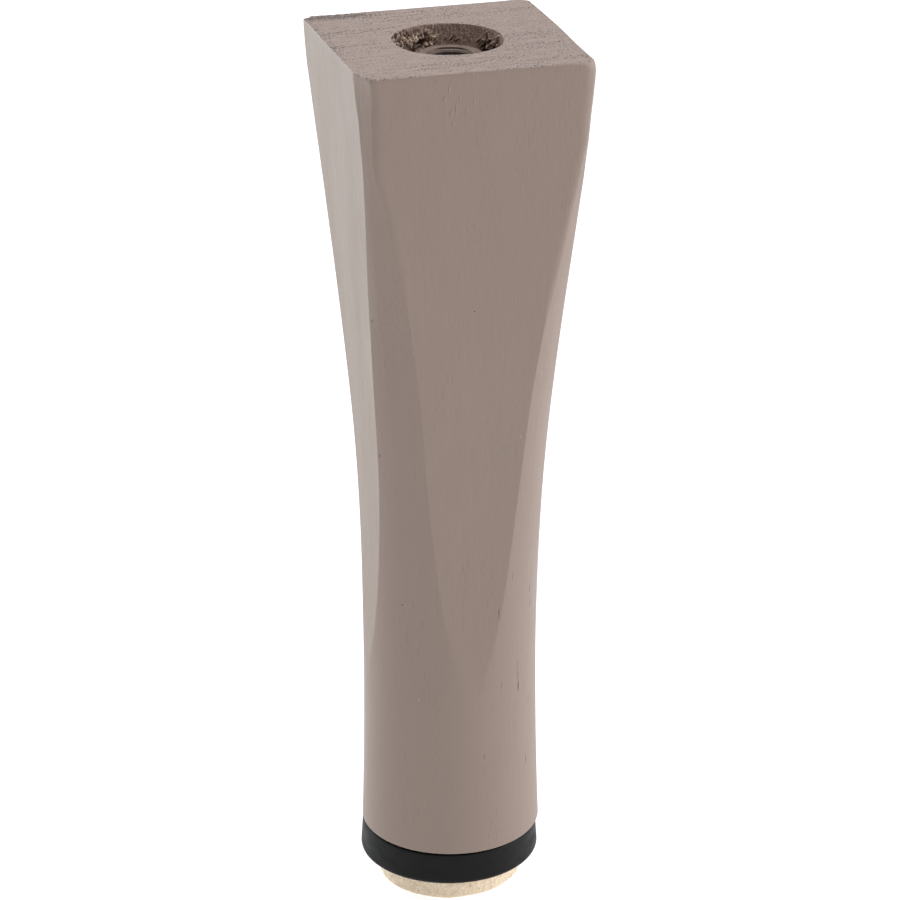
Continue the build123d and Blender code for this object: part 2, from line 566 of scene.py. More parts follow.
SIDE_MARKS = (
    SurfaceMark(Tone.DARK, (-55.0, 38.7), 0.24, 3.6, 0.55),
    SurfaceMark(Tone.DARK, (-54.5, 36.4), 0.30, 3.0, 0.75),
    SurfaceMark(Tone.DARK, (-54.1, 34.0), 0.40, 4.2, 1.0),
    SurfaceMark(Tone.DARK, (-72.0, 51.6), 0.26, 3.6, 0.55),
    SurfaceMark(Tone.DARK, (-42.0, 53.9), 0.32, 2.4, 0.80),
    SurfaceMark(Tone.DARK, (-40.8, 50.5), 0.32, 2.6, 0.75),
    SurfaceMark(Tone.DARK, (-41.3, 29.5), 0.30, 2.2, 0.65),
    SurfaceMark(Tone.DARK, (-47.6, 33.4), 0.22, 4.0, 0.35),
    SurfaceMark(Tone.DARK, (-43.2, 39.0), 0.22, 5.0, 0.35),
    SurfaceMark(Tone.DARK, (-45.5, 16.7), 0.34, 3.4, 0.75),
    SurfaceMark(Tone.DARK, (-69.6, 35.6), 0.26, 2.2, 0.40),
    SurfaceMark(Tone.DARK, (-62.0, 58.6), 0.26, 3.6, 0.40),
    SurfaceMark(Tone.DARK, (-83.0, 21.0), 0.30, 1.5, 0.45),
    SurfaceMark(Tone.DARK, (-137.5, 53.7), 0.42, 0.45, 0.80),
    SurfaceMark(Tone.DARK, (-91.0, 115.7), 0.42, 0.45, 0.80),
    SurfaceMark(Tone.DARK, (-144.1, 113.7), 0.45, 0.90, 0.80),
    SurfaceMark(Tone.DARK, (-148.5, 84.9), 0.45, 1.10, 0.80),
    SurfaceMark(Tone.LIGHT, (-51.0, 101.0), 0.45, 0.60, 0.80),
    SurfaceMark(Tone.LIGHT, (-50.5, 108.4), 0.40, 1.00, 0.50),
    SurfaceMark(Tone.LIGHT, (-61.0, 88.5), 0.40, 0.80, 0.60),
    SurfaceMark(Tone.LIGHT, (-126.5, 33.7), 0.42, 0.80, 0.70),
    SurfaceMark(Tone.RELIEF, (-107.0, 158.1), 0.75, 2.2, 1.0),
    SurfaceMark(Tone.RELIEF, (-104.9, 159.8), 0.50, 2.4, 0.8),
    SurfaceMark(Tone.RELIEF, (-104.0, 155.2), 0.80, 1.9, 1.0),
    SurfaceMark(Tone.RELIEF, (-103.2, 153.2), 0.70, 1.6, 0.9),
    SurfaceMark(Tone.RELIEF, (-101.6, 156.2), 0.50, 3.4, 0.8),
    SurfaceMark(Tone.RELIEF, (-100.0, 158.0), 0.45, 3.0, 0.7),
    SurfaceMark(Tone.RELIEF, (-96.8, 155.4), 0.50, 3.2, 0.7),
    SurfaceMark(Tone.RELIEF, (-93.0, 157.2), 0.45, 2.6, 0.5),
)


@dataclass(frozen=True)
class SatinPaint:
    """Satin paint over long grain: fine upright ridges, a faint orange peel and small marks."""

    base: Colour = Colour(138, 120, 110)
    crack: Colour = Colour(50, 38, 33)
    fleck: Colour = Colour(166, 154, 147)
    shades: tuple[float, float] = (0.975, 1.025)
    gloss: tuple[float, float] = (0.43, 0.52)
    ridges: Grain = Grain(0.30 * MM, 2.0, 0.4, (1.0, 1.0, 0.045))
    ridge_depth: float = 0.034 * MM
    broad: Grain = Grain(1.3 * MM, 2.0, 0.0, (1.0, 1.0, 0.24))
    broad_depth: float = 0.065 * MM
    peel: Grain = Grain(0.55 * MM, 1.0)
    peel_depth: float = 0.020 * MM
    cloud: Grain = Grain(9.0 * MM, 2.0, 0.0, (1.0, 1.0, 0.35))
    cloud_range: tuple[float, float] = (0.3, 0.7)
    pores: Grain = Grain(0.24 * MM, 0.0, 0.2, (1.0, 1.0, 0.10))
    pore_range: tuple[float, float] = (0.66, 0.76)
    pore_patches: Grain = Grain(6.0 * MM, 1.0, 0.0, (1.0, 1.0, 0.35))
    patch_range: tuple[float, float] = (0.45, 0.62)
    pore_shade: float = 0.55
    pore_strength: float = 0.14
    pore_share: float = 0.8
    mark_depth: float = 0.12 * MM

    def material(self, marks: Sequence[SurfaceMark], form: LegForm) -> bpy.types.Material:
        """Build the material.

        Args:
            marks: Marks on the surface.
            form: Form of the leg, which places the marks.

        Returns:
            The material.
        """
        paint = Finish("satin_paint")
        cloud = paint.noise(self.cloud)
        patches = paint.remap(paint.noise(self.pore_patches), *self.patch_range)
        open_pores = paint.math("MULTIPLY", paint.remap(paint.noise(self.pores), *self.pore_range), patches)
        dark: Value = 0.0
        light: Value = 0.0
        raised: Value = 0.0
        for mark in marks:
            degrees, rise = mark.middle
            spot = paint.spot(form.spot(degrees, rise * MM), mark.width * MM / 2.0, mark.slimness())
            spot = paint.math("MULTIPLY", spot, mark.strength)
            if mark.tone is Tone.DARK:
                dark = paint.math("MAXIMUM", dark, spot)
            elif mark.tone is Tone.LIGHT:
                light = paint.math("MAXIMUM", light, spot)
            else:
                raised = paint.math("MAXIMUM", raised, spot)
        darker, lighter = (self.base.light(shade) for shade in self.shades)
        colour = paint.blend(paint.remap(cloud, *self.cloud_range), darker, lighter)
        pore_colour = self.base.light(self.pore_shade)
        colour = paint.blend(paint.math("MULTIPLY", open_pores, self.pore_strength), colour, pore_colour)
        colour = paint.blend(dark, colour, self.crack.light())
        colour = paint.blend(light, colour, self.fleck.light())
        tall = paint.math("MULTIPLY", paint.noise(self.broad), self.broad_depth / self.ridge_depth)
        tall = paint.math("ADD", tall, paint.noise(self.ridges))
        tall = paint.math("SUBTRACT", tall, paint.math("MULTIPLY", open_pores, self.pore_share))
        peel = paint.math("MULTIPLY", paint.noise(self.peel), self.peel_depth / self.ridge_depth)
        normal = paint.height(paint.math("ADD", tall, peel), self.ridge_depth)
        normal = paint.height(paint.math("SUBTRACT", raised, dark), self.mark_depth, normal)
        return paint.done(colour, paint.remap(cloud, *self.cloud_range, *self.gloss), normal)


@dataclass(frozen=True)
class EndGrainPaint:
    """Paint soaked into end grain: matt, with open pores in bands along the growth rings.

    A pore opens where the grit rises over a threshold, which falls as the pores crowd: in the
    bands, in the finer streaks along them, and where the edge is worn.
    """

    base: Colour = Colour(141, 124, 117)
    pore: Colour = Colour(58, 47, 42)
    roughness: float = 0.62
    shades: tuple[float, float] = (1.12, 0.88)
    shade_range: tuple[float, float] = (0.36, 0.64)
    bands: Grain = Grain(5.0 * MM, 2.0, 0.5, (0.12, 1.0, 0.0), -4.0)
    band_range: tuple[float, float] = (0.42, 0.62)
    streaks: Grain = Grain(1.1 * MM, 1.0, 0.3, (0.10, 1.0, 0.0), -4.0)
    streak_range: tuple[float, float, float, float] = (0.40, 0.70, -0.35, 0.45)
    grit: Grain = Grain(0.36 * MM, 1.0, 0.3, (0.85, 0.80, 0.0), -4.0)
    flecks: Grain = Grain(0.62 * MM, 2.0, 0.4, (1.0, 1.0, 0.0))
    fleck_range: tuple[float, float] = (0.66, 0.72)
    fleck_crowd: tuple[float, float] = (0.5, 1.2)
    mottle: Grain = Grain(1.1 * MM, 2.0, 0.0, (0.35, 1.0, 0.0), -4.0)
    mottle_depth: float = 0.022 * MM
    wear_crowd: float = 1.5
    pore_start: float = 0.645
    pore_spread: float = 0.095
    pore_rise: float = 14.0
    pore_strength: float = 0.80
    pore_depth: float = 0.08 * MM

    def material(self) -> bpy.types.Material:
        """Build the material.

        Returns:
            The material.
        """
        paint = Finish("end_grain_paint")
        grit = paint.noise(self.grit)
        mottle = paint.noise(self.mottle)
        bands = paint.remap(paint.noise(self.bands), *self.band_range)
        crowd = paint.math("ADD", bands, paint.remap(paint.noise(self.streaks), *self.streak_range))
        crowd = paint.math("ADD", crowd, paint.math("MULTIPLY", paint.carried("worn"), self.wear_crowd))
        threshold = paint.math("SUBTRACT", self.pore_start, paint.math("MULTIPLY", crowd, self.pore_spread))
        above = paint.math("SUBTRACT", grit, threshold)
        pores = paint.math("MULTIPLY", above, self.pore_rise, clamp=True)
        flecks = paint.remap(paint.noise(self.flecks), *self.fleck_range)
        pores = paint.math(
            "MAXIMUM", pores, paint.math("MULTIPLY", flecks, paint.remap(crowd, *self.fleck_crowd))
        )
        shades = paint.math("ADD", paint.math("MULTIPLY", mottle, 0.5), paint.math("MULTIPLY", grit, 0.5))
        lighter, darker = (self.base.light(shade) for shade in self.shades)
        colour = paint.blend(paint.remap(shades, *self.shade_range), lighter, darker)
        colour = paint.blend(paint.math("MULTIPLY", pores, self.pore_strength), colour, self.pore.light())
        normal = paint.height(paint.math("ADD", mottle, grit), self.mottle_depth)
        normal = paint.height(paint.math("MULTIPLY", pores, -1.0), self.pore_depth, normal)
        return paint.done(colour, self.roughness, normal)


@dataclass(frozen=True)
class BoredWood:
    """Wall of the socket: rough painted wood, bare where it is torn, with painted shade in its cracks and
    hollows.
    """

    painted: Colour = Colour(150, 129, 119)
    # Colour of the painted shade laid into the wall's cracks, pit, gaps and lower part.
    shade: Colour = Colour(48, 34, 27)
    bare: Colour = Colour(255, 240, 222)
    fibre: Colour = Colour(212, 182, 157)
    roughness: float = 0.75
    grain: Grain = Grain(0.30 * MM, 3.0, 0.5, (1.0, 1.0, 0.35))
    grain_range: tuple[float, float] = (0.35, 0.65)
    grain_depth: float = 0.05 * MM
    flecks: Grain = Grain(0.34 * MM, 2.0, 0.6)
    fleck_range: tuple[float, float] = (0.34, 0.46)
    streaks: Grain = Grain(0.24 * MM, 1.0, 0.3, (1.0, 1.0, 0.22))
    shades: tuple[float, float] = (0.58, 1.30)
    shade_range: tuple[float, float] = (0.39, 0.61)
    shade_depth: float = 0.09 * MM
    hollow_shade_strength: float = 0.95

    def material(self) -> bpy.types.Material:
        """Build the material.

        Returns:
            The material.
        """
        wood = Finish("bored_wood")
        grain = wood.noise(self.grain)
        flecks = wood.noise(self.flecks)
        streaks = wood.noise(self.streaks)
        bare = wood.blend(wood.remap(grain, *self.grain_range), self.fibre.light(), self.bare.light())
        shades = wood.math("ADD", wood.math("MULTIPLY", flecks, 0.5), wood.math("MULTIPLY", streaks, 0.5))
        darker, lighter = (self.painted.light(shade) for shade in self.shades)
        colour = wood.blend(wood.remap(shades, *self.shade_range), darker, lighter)
        torn = wood.math("MULTIPLY", wood.carried("torn"), wood.remap(flecks, *self.fleck_range))
        colour = wood.blend(torn, colour, bare)
        # Painted shade: the colour goes towards the shade colour as far as the mesh marks a point hollow.
        hollow = wood.math("MULTIPLY", wood.carried("hollow"), self.hollow_shade_strength)
        colour = wood.blend(hollow, colour, self.shade.light())
        normal = wood.height(grain, self.grain_depth)
        normal = wood.height(shades, self.shade_depth, normal)
        return wood.done(colour, self.roughness, normal)


@dataclass(frozen=True)
class PaintedSteel:
    """Steel insert under a coat of the leg's paint, bare down its thread, where it is painted shade."""

    paint: Colour = Colour(117, 100, 91)
    # Near-black steel: bare steel with painted shade down the bore and in the mouth's groove.
    steel: Colour = Colour(22, 16, 13)
    shades: tuple[float, float] = (0.88, 1.04)
    gloss: tuple[float, float] = (0.38, 0.54)
    drips: Grain = Grain(1.3 * MM, 3.0, 0.4, (1.0, 1.0, 0.6))
    drip_range: tuple[float, float] = (0.3, 0.7)
    drip_depth: float = 0.05 * MM
    fine: Grain = Grain(0.25 * MM, 2.0)
    fine_depth: float = 0.008 * MM

    def material(self) -> bpy.types.Material:
        """Build the material.

        Returns:
            The material.
        """
        steel = Finish("painted_steel")
        drips = steel.noise(self.drips)
        darker, lighter = (self.paint.light(shade) for shade in self.shades)
        coat = steel.blend(steel.remap(drips, *self.drip_range), darker, lighter)
        # Painted shade: where the mesh marks it bare, the colour goes to the near-black steel.
        colour = steel.blend(steel.carried("bare"), coat, self.steel.light())
        normal = steel.height(drips, self.drip_depth)
        normal = steel.height(steel.noise(self.fine), self.fine_depth, normal)
        gloss = steel.remap(drips, *self.drip_range, *self.gloss)
        return steel.done(colour, gloss, normal, Specular_IOR_Level=0.3)


@dataclass(frozen=True)
class MouldedPlastic:
    """Black moulded plastic with a faint spark texture and a little dust."""

    base: Colour = Colour(9, 9, 10)
    dust: Colour = Colour(54, 52, 52)
    shades: tuple[float, float] = (0.85, 1.2)
    gloss: tuple[float, float] = (0.51, 0.64)
    flow: Grain = Grain(4.0 * MM, 3.0, 0.5, (1.0, 1.0, 2.6))
    flow_range: tuple[float, float] = (0.3, 0.7)
    flow_depth: float = 0.030 * MM
    spark: Grain = Grain(0.20 * MM, 2.0)
    spark_depth: float = 0.0035 * MM
    dust_cell: float = 1.4 * MM
    dust_size: float = 0.10
    dust_strength: float = 0.25

    def material(self) -> bpy.types.Material:
        """Build the material.

        Returns:
            The material.
        """
        plastic = Finish("moulded_plastic")
        flow = plastic.noise(self.flow)
        dust = plastic.math("MULTIPLY", plastic.specks(self.dust_cell, self.dust_size), self.dust_strength)
        darker, lighter = (self.base.light(shade) for shade in self.shades)
        colour = plastic.blend(plastic.remap(flow, *self.flow_range), darker, lighter)
        colour = plastic.blend(dust, colour, self.dust.light())
        normal = plastic.height(flow, self.flow_depth)
        normal = plastic.height(plastic.noise(self.spark), self.spark_depth, normal)
        gloss = plastic.remap(flow, *self.flow_range, *self.gloss)
        return plastic.done(colour, gloss, normal, IOR=1.28, Specular_IOR_Level=0.5)


@dataclass(frozen=True)
class WoolFelt:
    """Pressed wool: matted pale fibres with darker hairs pressed in, lying three ways."""

    base: Colour = Colour(254, 236, 210)
    shade: Colour = Colour(236, 211, 180)
    hair: Colour = Colour(122, 100, 78)
    roughness: float = 0.95
    mat: Grain = Grain(0.55 * MM, 4.0, 1.2)
    mat_range: tuple[float, float] = (0.32, 0.66)
    mat_depth: float = 0.16 * MM
    fine: Grain = Grain(0.18 * MM, 2.0, 0.8)
    fine_depth: float = 0.07 * MM
    hairs: tuple[Grain, ...] = (
        Grain(0.60 * MM, 1.0, 1.0, (0.32, 2.2, 2.6), 25.0),
        Grain(0.60 * MM, 1.0, 1.0, (0.32, 2.2, 0.7), 100.0),
        Grain(0.60 * MM, 1.0, 1.0, (0.32, 2.2, 1.8), 155.0),
    )
    hair_range: tuple[float, float, float, float] = (0.675, 0.75, 0.0, 0.50)

    def material(self) -> bpy.types.Material:
        """Build the material.

        Returns:
            The material.
        """
        felt = Finish("wool_felt")
        mat = felt.noise(self.mat)
        colour = felt.blend(felt.remap(mat, *self.mat_range), self.shade.light(), self.base.light())
        for hairs in self.hairs:
            share = felt.remap(felt.noise(hairs), *self.hair_range)
            colour = felt.blend(share, colour, self.hair.light())
        normal = felt.height(mat, self.mat_depth)
        normal = felt.height(felt.noise(self.fine), self.fine_depth, normal)
        return felt.done(colour, self.roughness, normal, Sheen_Weight=0.25, Sheen_Roughness=0.5)


@dataclass(frozen=True)
class ZincSteel:
    """Bright zinc-plated steel with fine turning lines."""

    base: Colour = Colour(186, 190, 196)
    shades: tuple[float, float] = (0.86, 1.0)
    shade_range: tuple[float, float] = (0.35, 0.65)
    gloss: tuple[float, float] = (0.24, 0.40)
    gloss_range: tuple[float, float] = (0.3, 0.7)
    spangle: Grain = Grain(0.8 * MM, 2.0)
    turned: Grain = Grain(0.6 * MM, 2.0, 0.0, (0.3, 0.3, 8.0))
    turned_depth: float = 0.01 * MM

    def material(self) -> bpy.types.Material:
        """Build the material.

        Returns:
            The material.
        """
        zinc = Finish("zinc_steel")
        spangle = zinc.noise(self.spangle)
        darker, lighter = (self.base.light(shade) for shade in self.shades)
        colour = zinc.blend(zinc.remap(spangle, *self.shade_range), darker, lighter)
        normal = zinc.height(zinc.noise(self.turned), self.turned_depth)
        gloss = zinc.remap(spangle, *self.gloss_range, *self.gloss)
        return zinc.done(colour, gloss, normal, Metallic=1.0)


@dataclass(frozen=True)
class StudioPaper:
    """Matt white top of a light table under the leg."""

    base: Colour = Colour(170, 170, 170)
    darker: float = 0.99
    tooth: Grain = Grain(6.0 * MM, 2.0)
    tooth_range: tuple[float, float] = (0.3, 0.7)
    roughness: float = 0.95
    glow: float = 0.82

    def material(self) -> bpy.types.Material:
        """Build the material.

        Returns:
            The material.
        """
        paper = Finish("studio_paper")
        tooth = paper.remap(paper.noise(self.tooth), *self.tooth_range)
        colour = paper.blend(tooth, self.base.light(self.darker), self.base.light())
        paper.shader.inputs["Emission Color"].default_value = (1.0, 1.0, 1.0, 1.0)
        return paper.done(colour, self.roughness, None, Specular_IOR_Level=0.1, Emission_Strength=self.glow)


@dataclass(frozen=True)
class Rail:
    """Line down the turned surface: its angle in degrees, and how far it stands out, in millimetres.

    The hand-sanded leg strays from its drawn outline by up to a millimetre. Each value belongs to
    one of the form's rises, and the surface between two rails goes evenly from one to the other.
    """

    angle: float
    steps: tuple[float, ...]


@dataclass(frozen=True)
class LegForm:
    """Outside of the wood: four scooped flats let into a turned outline."""

    foot_level: float = 12.0 * MM
    top_level: float = 175.0 * MM
    top_half_width: float = 22.5 * MM
    widest: float = 22.445 * MM
    taper_half_width: float = 17.2 * MM
    taper_level: float = 102.0 * MM
    scoop_radius: float = 370.0 * MM
    foot_radius: float = 17.9 * MM
    waist_radius: float = 17.2 * MM
    waist_level: float = 49.5 * MM
    flare_radius: float = 24.5 * MM
    flare_level: float = 133.0 * MM
    billet_radius: float = 30.3 * MM
    sanded_rises: tuple[float, ...] = (
        90.0, 105.0, 113.8, 120.0, 126.5, 132.8, 139.0, 143.0,
        147.0, 149.8, 151.8, 153.5, 157.8, 160.8, 163.0,
    )
    sanded_turns: tuple[float, ...] = (
        -160.0, -160.0, -160.0, -158.0, -156.5, -156.0, -155.0, -153.0,
        -152.5, -152.0, -152.0, -152.5, -155.0, -158.0, -166.0,
    )
    sanded_distances: tuple[float, ...] = (
        23.50, 22.20, 22.23, 23.10, 24.26, 25.26, 26.26, 26.97,
        27.47, 27.68, 27.89, 27.89, 27.40, 27.14, 25.96,
    )
    sanded_blend: float = 0.60 * MM
    top_blend: float = 1.80 * MM
    top_zone: tuple[float, float] = (20.0 * MM, 6.0 * MM)
    edge_blend: float = 0.06 * MM
    soft_edges: tuple[float, float] = (-49.0, -129.5)
    soft_reach: tuple[float, float] = (6.5, 3.0)
    soft_blend: float = 1.05 * MM
    soft_share: float = 0.55
    soft_rise: tuple[float, float] = (100.0 * MM, 125.0 * MM)
    softer_rise: tuple[float, float] = (138.0 * MM, 150.0 * MM)
    unevenness: float = 0.035 * MM
    relief_length: float = 200.0 * MM
    least_turn: float = 18.0
    most_turn: float = 44.7
    turn_samples: int = 451
    flat_columns: int = 38
    flat_crowding: float = 1.5
    strip_columns: int = 36
    strip_crowding: float = 0.75
    rail_rises: tuple[float, ...] = (
        40.0, 118.0, 131.0, 136.0, 139.5, 143.5, 147.5, 149.5, 152.5, 154.0, 155.2, 157.0, 159.0, 163.0
    )
    rails: tuple[Rail, ...] = (
        Rail(
            -139.0,
            (0.0, -0.21, -0.20, -0.23, -0.25, -0.24, -0.40, -0.60, -0.72, -0.35, 0.0, 0.10, 0.10, 0.0),
        ),
        Rail(
            -132.5,
            (0.0, -0.51, -0.51, -0.54, -0.33, 0.01, 0.25, 0.05, -0.05, 0.30, 0.80, 1.00, 1.00, 0.95),
        ),
        Rail(-47.5, (0.0, 0.35, 0.34, 0.33, 0.39, 0.35, 0.50, 0.32, 0.0, -0.14, 0.0, 0.18, 0.40, 0.40)),
        Rail(-42.0, (0.0, 0.35, 0.34, 0.33, 0.39, 0.20, 0.10, -0.05, -0.30, -0.34, -0.15, 0.05, 0.25, 0.25)),
        Rail(46.0, (0.0, 0.35, 0.35, 0.34, 0.32, 0.20, 0.12, 0.05, 0.0, 0.0, 0.05, 0.10, 0.20, 0.20)),
        Rail(
            135.0,
            (0.0, -0.50, -0.50, -0.46, -0.40, -0.30, -0.22, -0.20, -0.15, -0.05, 0.05, 0.15, 0.25, 0.25),
        ),
    )

    def turned_radius(self, level: np.ndarray) -> np.ndarray:
        """Radius of the turned outline.

        Below and above the waist it is a circle that stands upright at the waist and passes through
        the foot's or the flare's radius: for a rise h and a step d its radius is (h^2 + d^2) / 2d.
        Above the flare it runs on straight, leaning by twice the angle of the chord.

        Args:
            level: Heights.

        Returns:
            Radii.
        """
        rise = self.flare_level - self.waist_level
        step = self.flare_radius - self.waist_radius
        hollow = (rise**2 + step**2) / (2.0 * step)
        lean = math.tan(2.0 * math.atan2(step, rise))
        fall = self.waist_level - self.foot_level
        spread = self.foot_radius - self.waist_radius
        foot_curve = (fall**2 + spread**2) / (2.0 * spread)
        above = np.clip(level - self.waist_level, 0.0, rise)
        below = np.clip(self.waist_level - level, 0.0, fall)
        curved = self.waist_radius + hollow - np.sqrt(hollow**2 - above**2)
        curved = curved + foot_curve - np.sqrt(foot_curve**2 - below**2)
        return curved + lean * np.clip(level - self.flare_level, 0.0, None)

    def flat_distance(self, level: np.ndarray) -> np.ndarray:
        """Distance of each flat from the axis.

        From the top it tapers straight to the taper's foot, and from there it follows a circle that
        touches the taper and has its centre outside the wood, at the scoop's radius. It goes no
        wider than the solid does, whose top edge is rounded.

        Args:
            level: Heights.

        Returns:
            Distances.
        """
        slope = (self.top_half_width - self.taper_half_width) / (self.top_level - self.taper_level)
        lean = math.atan(slope)
        centre_level = self.taper_level - self.scoop_radius * math.sin(lean)
        centre_distance = self.taper_half_width + self.scoop_radius * math.cos(lean)
        drop = np.clip(np.minimum(level, self.taper_level) - centre_level, -0.9 * self.scoop_radius, None)
        scooped = centre_distance - np.sqrt(self.scoop_radius**2 - drop**2)
        tapered = self.taper_half_width + slope * (level - self.taper_level)
        return np.minimum(np.where(level > self.taper_level, tapered, scooped), self.widest)

    def strayed(self, angles: np.ndarray, level: np.ndarray) -> np.ndarray:
        """How far the turned surface stands outside its drawn outline, from the rails."""
        degrees = np.degrees(angles)
        rises = self.foot_level + np.array(self.rail_rises) * MM
        total = np.zeros(np.broadcast_shapes(degrees.shape, level.shape))
        for index, rail in enumerate(self.rails):
            before = (rail.angle - self.rails[index - 1].angle) % 360.0
            after = (self.rails[(index + 1) % len(self.rails)].angle - rail.angle) % 360.0
            away = (degrees - rail.angle + 180.0) % 360.0 - 180.0
            share = np.interp(away, (-before, 0.0, after), (0.0, 1.0, 0.0))
            total = total + share * np.interp(level, rises, np.array(rail.steps) * MM)
        return total

    def round_radius(self, angles: np.ndarray, level: np.ndarray) -> np.ndarray:
        """Radius outside the flats: the turned surface, cut by a sanded plane down the left front corner.

        The plane stands at its distance d from the axis and is turned by its angle a, so a ray at
        the angle t meets it at d / cos (t - a). Both change along the leg, as hand sanding does, and
        the edge where the plane meets the turned surface is rounder near the top.

        Args:
            angles: Angles round the axis.
            level: Heights.

        Returns:
            Radii.
        """
        turned = np.minimum(self.turned_radius(level), self.billet_radius) + self.strayed(angles, level)
        rises = self.foot_level + np.array(self.sanded_rises) * MM
        facing = np.cos(angles - np.radians(np.interp(level, rises, self.sanded_turns)))
        distance = np.interp(level, rises, self.sanded_distances) * MM
        near_top = ease(self.top_level - level, *self.top_zone)
        blend = self.sanded_blend + self.top_blend * near_top
        return soft_lesser(turned, distance / np.maximum(facing, 0.1), blend)

    def softness(self, angles: np.ndarray, level: np.ndarray) -> np.ndarray:
        """How wide the edge between flat and round surface is rounded: most at the front's upper ends."""
        turns = [np.angle(np.exp(1j * (angles - math.radians(edge)))) for edge in self.soft_edges]
        away = np.degrees(np.minimum(np.abs(turns[0]), np.abs(turns[1])))
        rise = level - self.foot_level
        high = self.soft_share * ease(rise, *self.soft_rise)
        high = high + (1.0 - self.soft_share) * ease(rise, *self.softer_rise)
        return self.edge_blend + self.soft_blend * high * ease(away, *self.soft_reach)

    def radius(self, angles: np.ndarray, level: np.ndarray, inset: np.ndarray | float = 0.0) -> np.ndarray:
        """Radius of the wood: the lesser of the four flats and the round surface.

        Two fields of broad, shallow relief stand for hand sanding.

        Args:
            angles: Angles round the axis.
            level: Heights.
            inset: How far every face is moved inwards.

        Returns:
            Radii.
        """
        facing = np.maximum(np.abs(np.cos(angles)), np.abs(np.sin(angles)))
        square = (self.flat_distance(level) - inset) / facing
        plain = soft_lesser(square, self.round_radius(angles, level) - inset, self.softness(angles, level))
        around = angles / FULL_TURN
        along = level / self.relief_length
        sanding = relief(around, along, (9, 6), 11) + 0.4 * relief(around, along, (31, 17), 12)
        return plain - self.unevenness * (0.6 + 0.4 * sanding)

    def edge_turns(self, levels: np.ndarray) -> np.ndarray:
        """Where each flat meets the round surface, as an angle from the flat's middle.

        A flat at the distance d ends where d / cos t first exceeds the round radius. The place is
        taken between the last sample inside and the first outside, as on a straight line.

        Args:
            levels: Heights.

        Returns:
            Angles by level, by flat in the order +X, +Y, -X, -Y, and by side, the clockwise one first.
        """
        turns = np.radians(np.linspace(0.0, 45.0, self.turn_samples))
        middles = np.radians(np.array([0.0, 90.0, 180.0, 270.0]))
        angles = middles[:, None, None] + np.array([-1.0, 1.0])[None, :, None] * turns
        level_grid = levels[:, None, None, None]
        square = self.flat_distance(level_grid) / np.cos(turns)
        excess = square - self.round_radius(angles[None], level_grid)
        before = (np.cumsum(excess > 0.0, axis=-1) == 0).sum(axis=-1)
        last = np.clip(before - 1, 0, turns.size - 2)[..., None]
        inside = np.take_along_axis(excess, last, axis=-1)
        outside = np.take_along_axis(excess, last + 1, axis=-1)
        share = np.clip(inside / np.minimum(inside - outside, -1e-12), 0.0, 1.0)
        found = (last + share)[..., 0] * (turns[1] - turns[0])
        return np.clip(found, math.radians(self.least_turn), math.radians(self.most_turn))

    def spread(self, levels: np.ndarray) -> np.ndarray:
        """Angles of the columns at each level, with one column down each edge of each flat.

        The columns crowd towards the edges: a share u of a flat, counted from its middle, stands at
        1 - (1 - u)^1.5, and a share u of a strip at u - 0.75 sin (2 pi u) / 2 pi.

        Args:
            levels: Heights.

        Returns:
            Angles by level and column.
        """
        edges = self.edge_turns(levels)
        off_flat = (np.arange(self.flat_columns) / self.flat_columns) ** self.flat_crowding
        on_flat = 1.0 - (1.0 - np.arange(self.flat_columns) / self.flat_columns) ** self.flat_crowding
        even = np.arange(self.strip_columns) / self.strip_columns
        on_strip = even - self.strip_crowding * np.sin(FULL_TURN * even) / FULL_TURN
        runs = []
        for flat in range(4):
            middle = flat * math.pi / 2.0
            edge = middle + edges[:, flat, 1][:, None]
            next_middle = middle + math.pi / 2.0
            next_edge = next_middle - edges[:, (flat + 1) % 4, 0][:, None]
            runs.append(middle + (edge - middle) * on_flat)
            runs.append(edge + (next_edge - edge) * on_strip)
            runs.append(next_edge + (next_middle - next_edge) * off_flat)
        return np.concatenate(runs, axis=1)

    def spot(self, degrees: float, rise: float) -> Vector:
        """Point on the surface.

        Args:
            degrees: Angle round the axis, in degrees.
            rise: Height above the foot's face.

        Returns:
            The point.
        """
        angle = np.array([math.radians(degrees)])
        level = np.array([self.foot_level + rise])
        return Vector(ring(self.radius(angle, level), angle, level)[0])


@dataclass(frozen=True)
class Groove:
    """Oblique crack in the socket's wall, in degrees and millimetres. Each end is an angle and a depth."""

    start: tuple[float, float]
    end: tuple[float, float]
    width: float
    depth: float


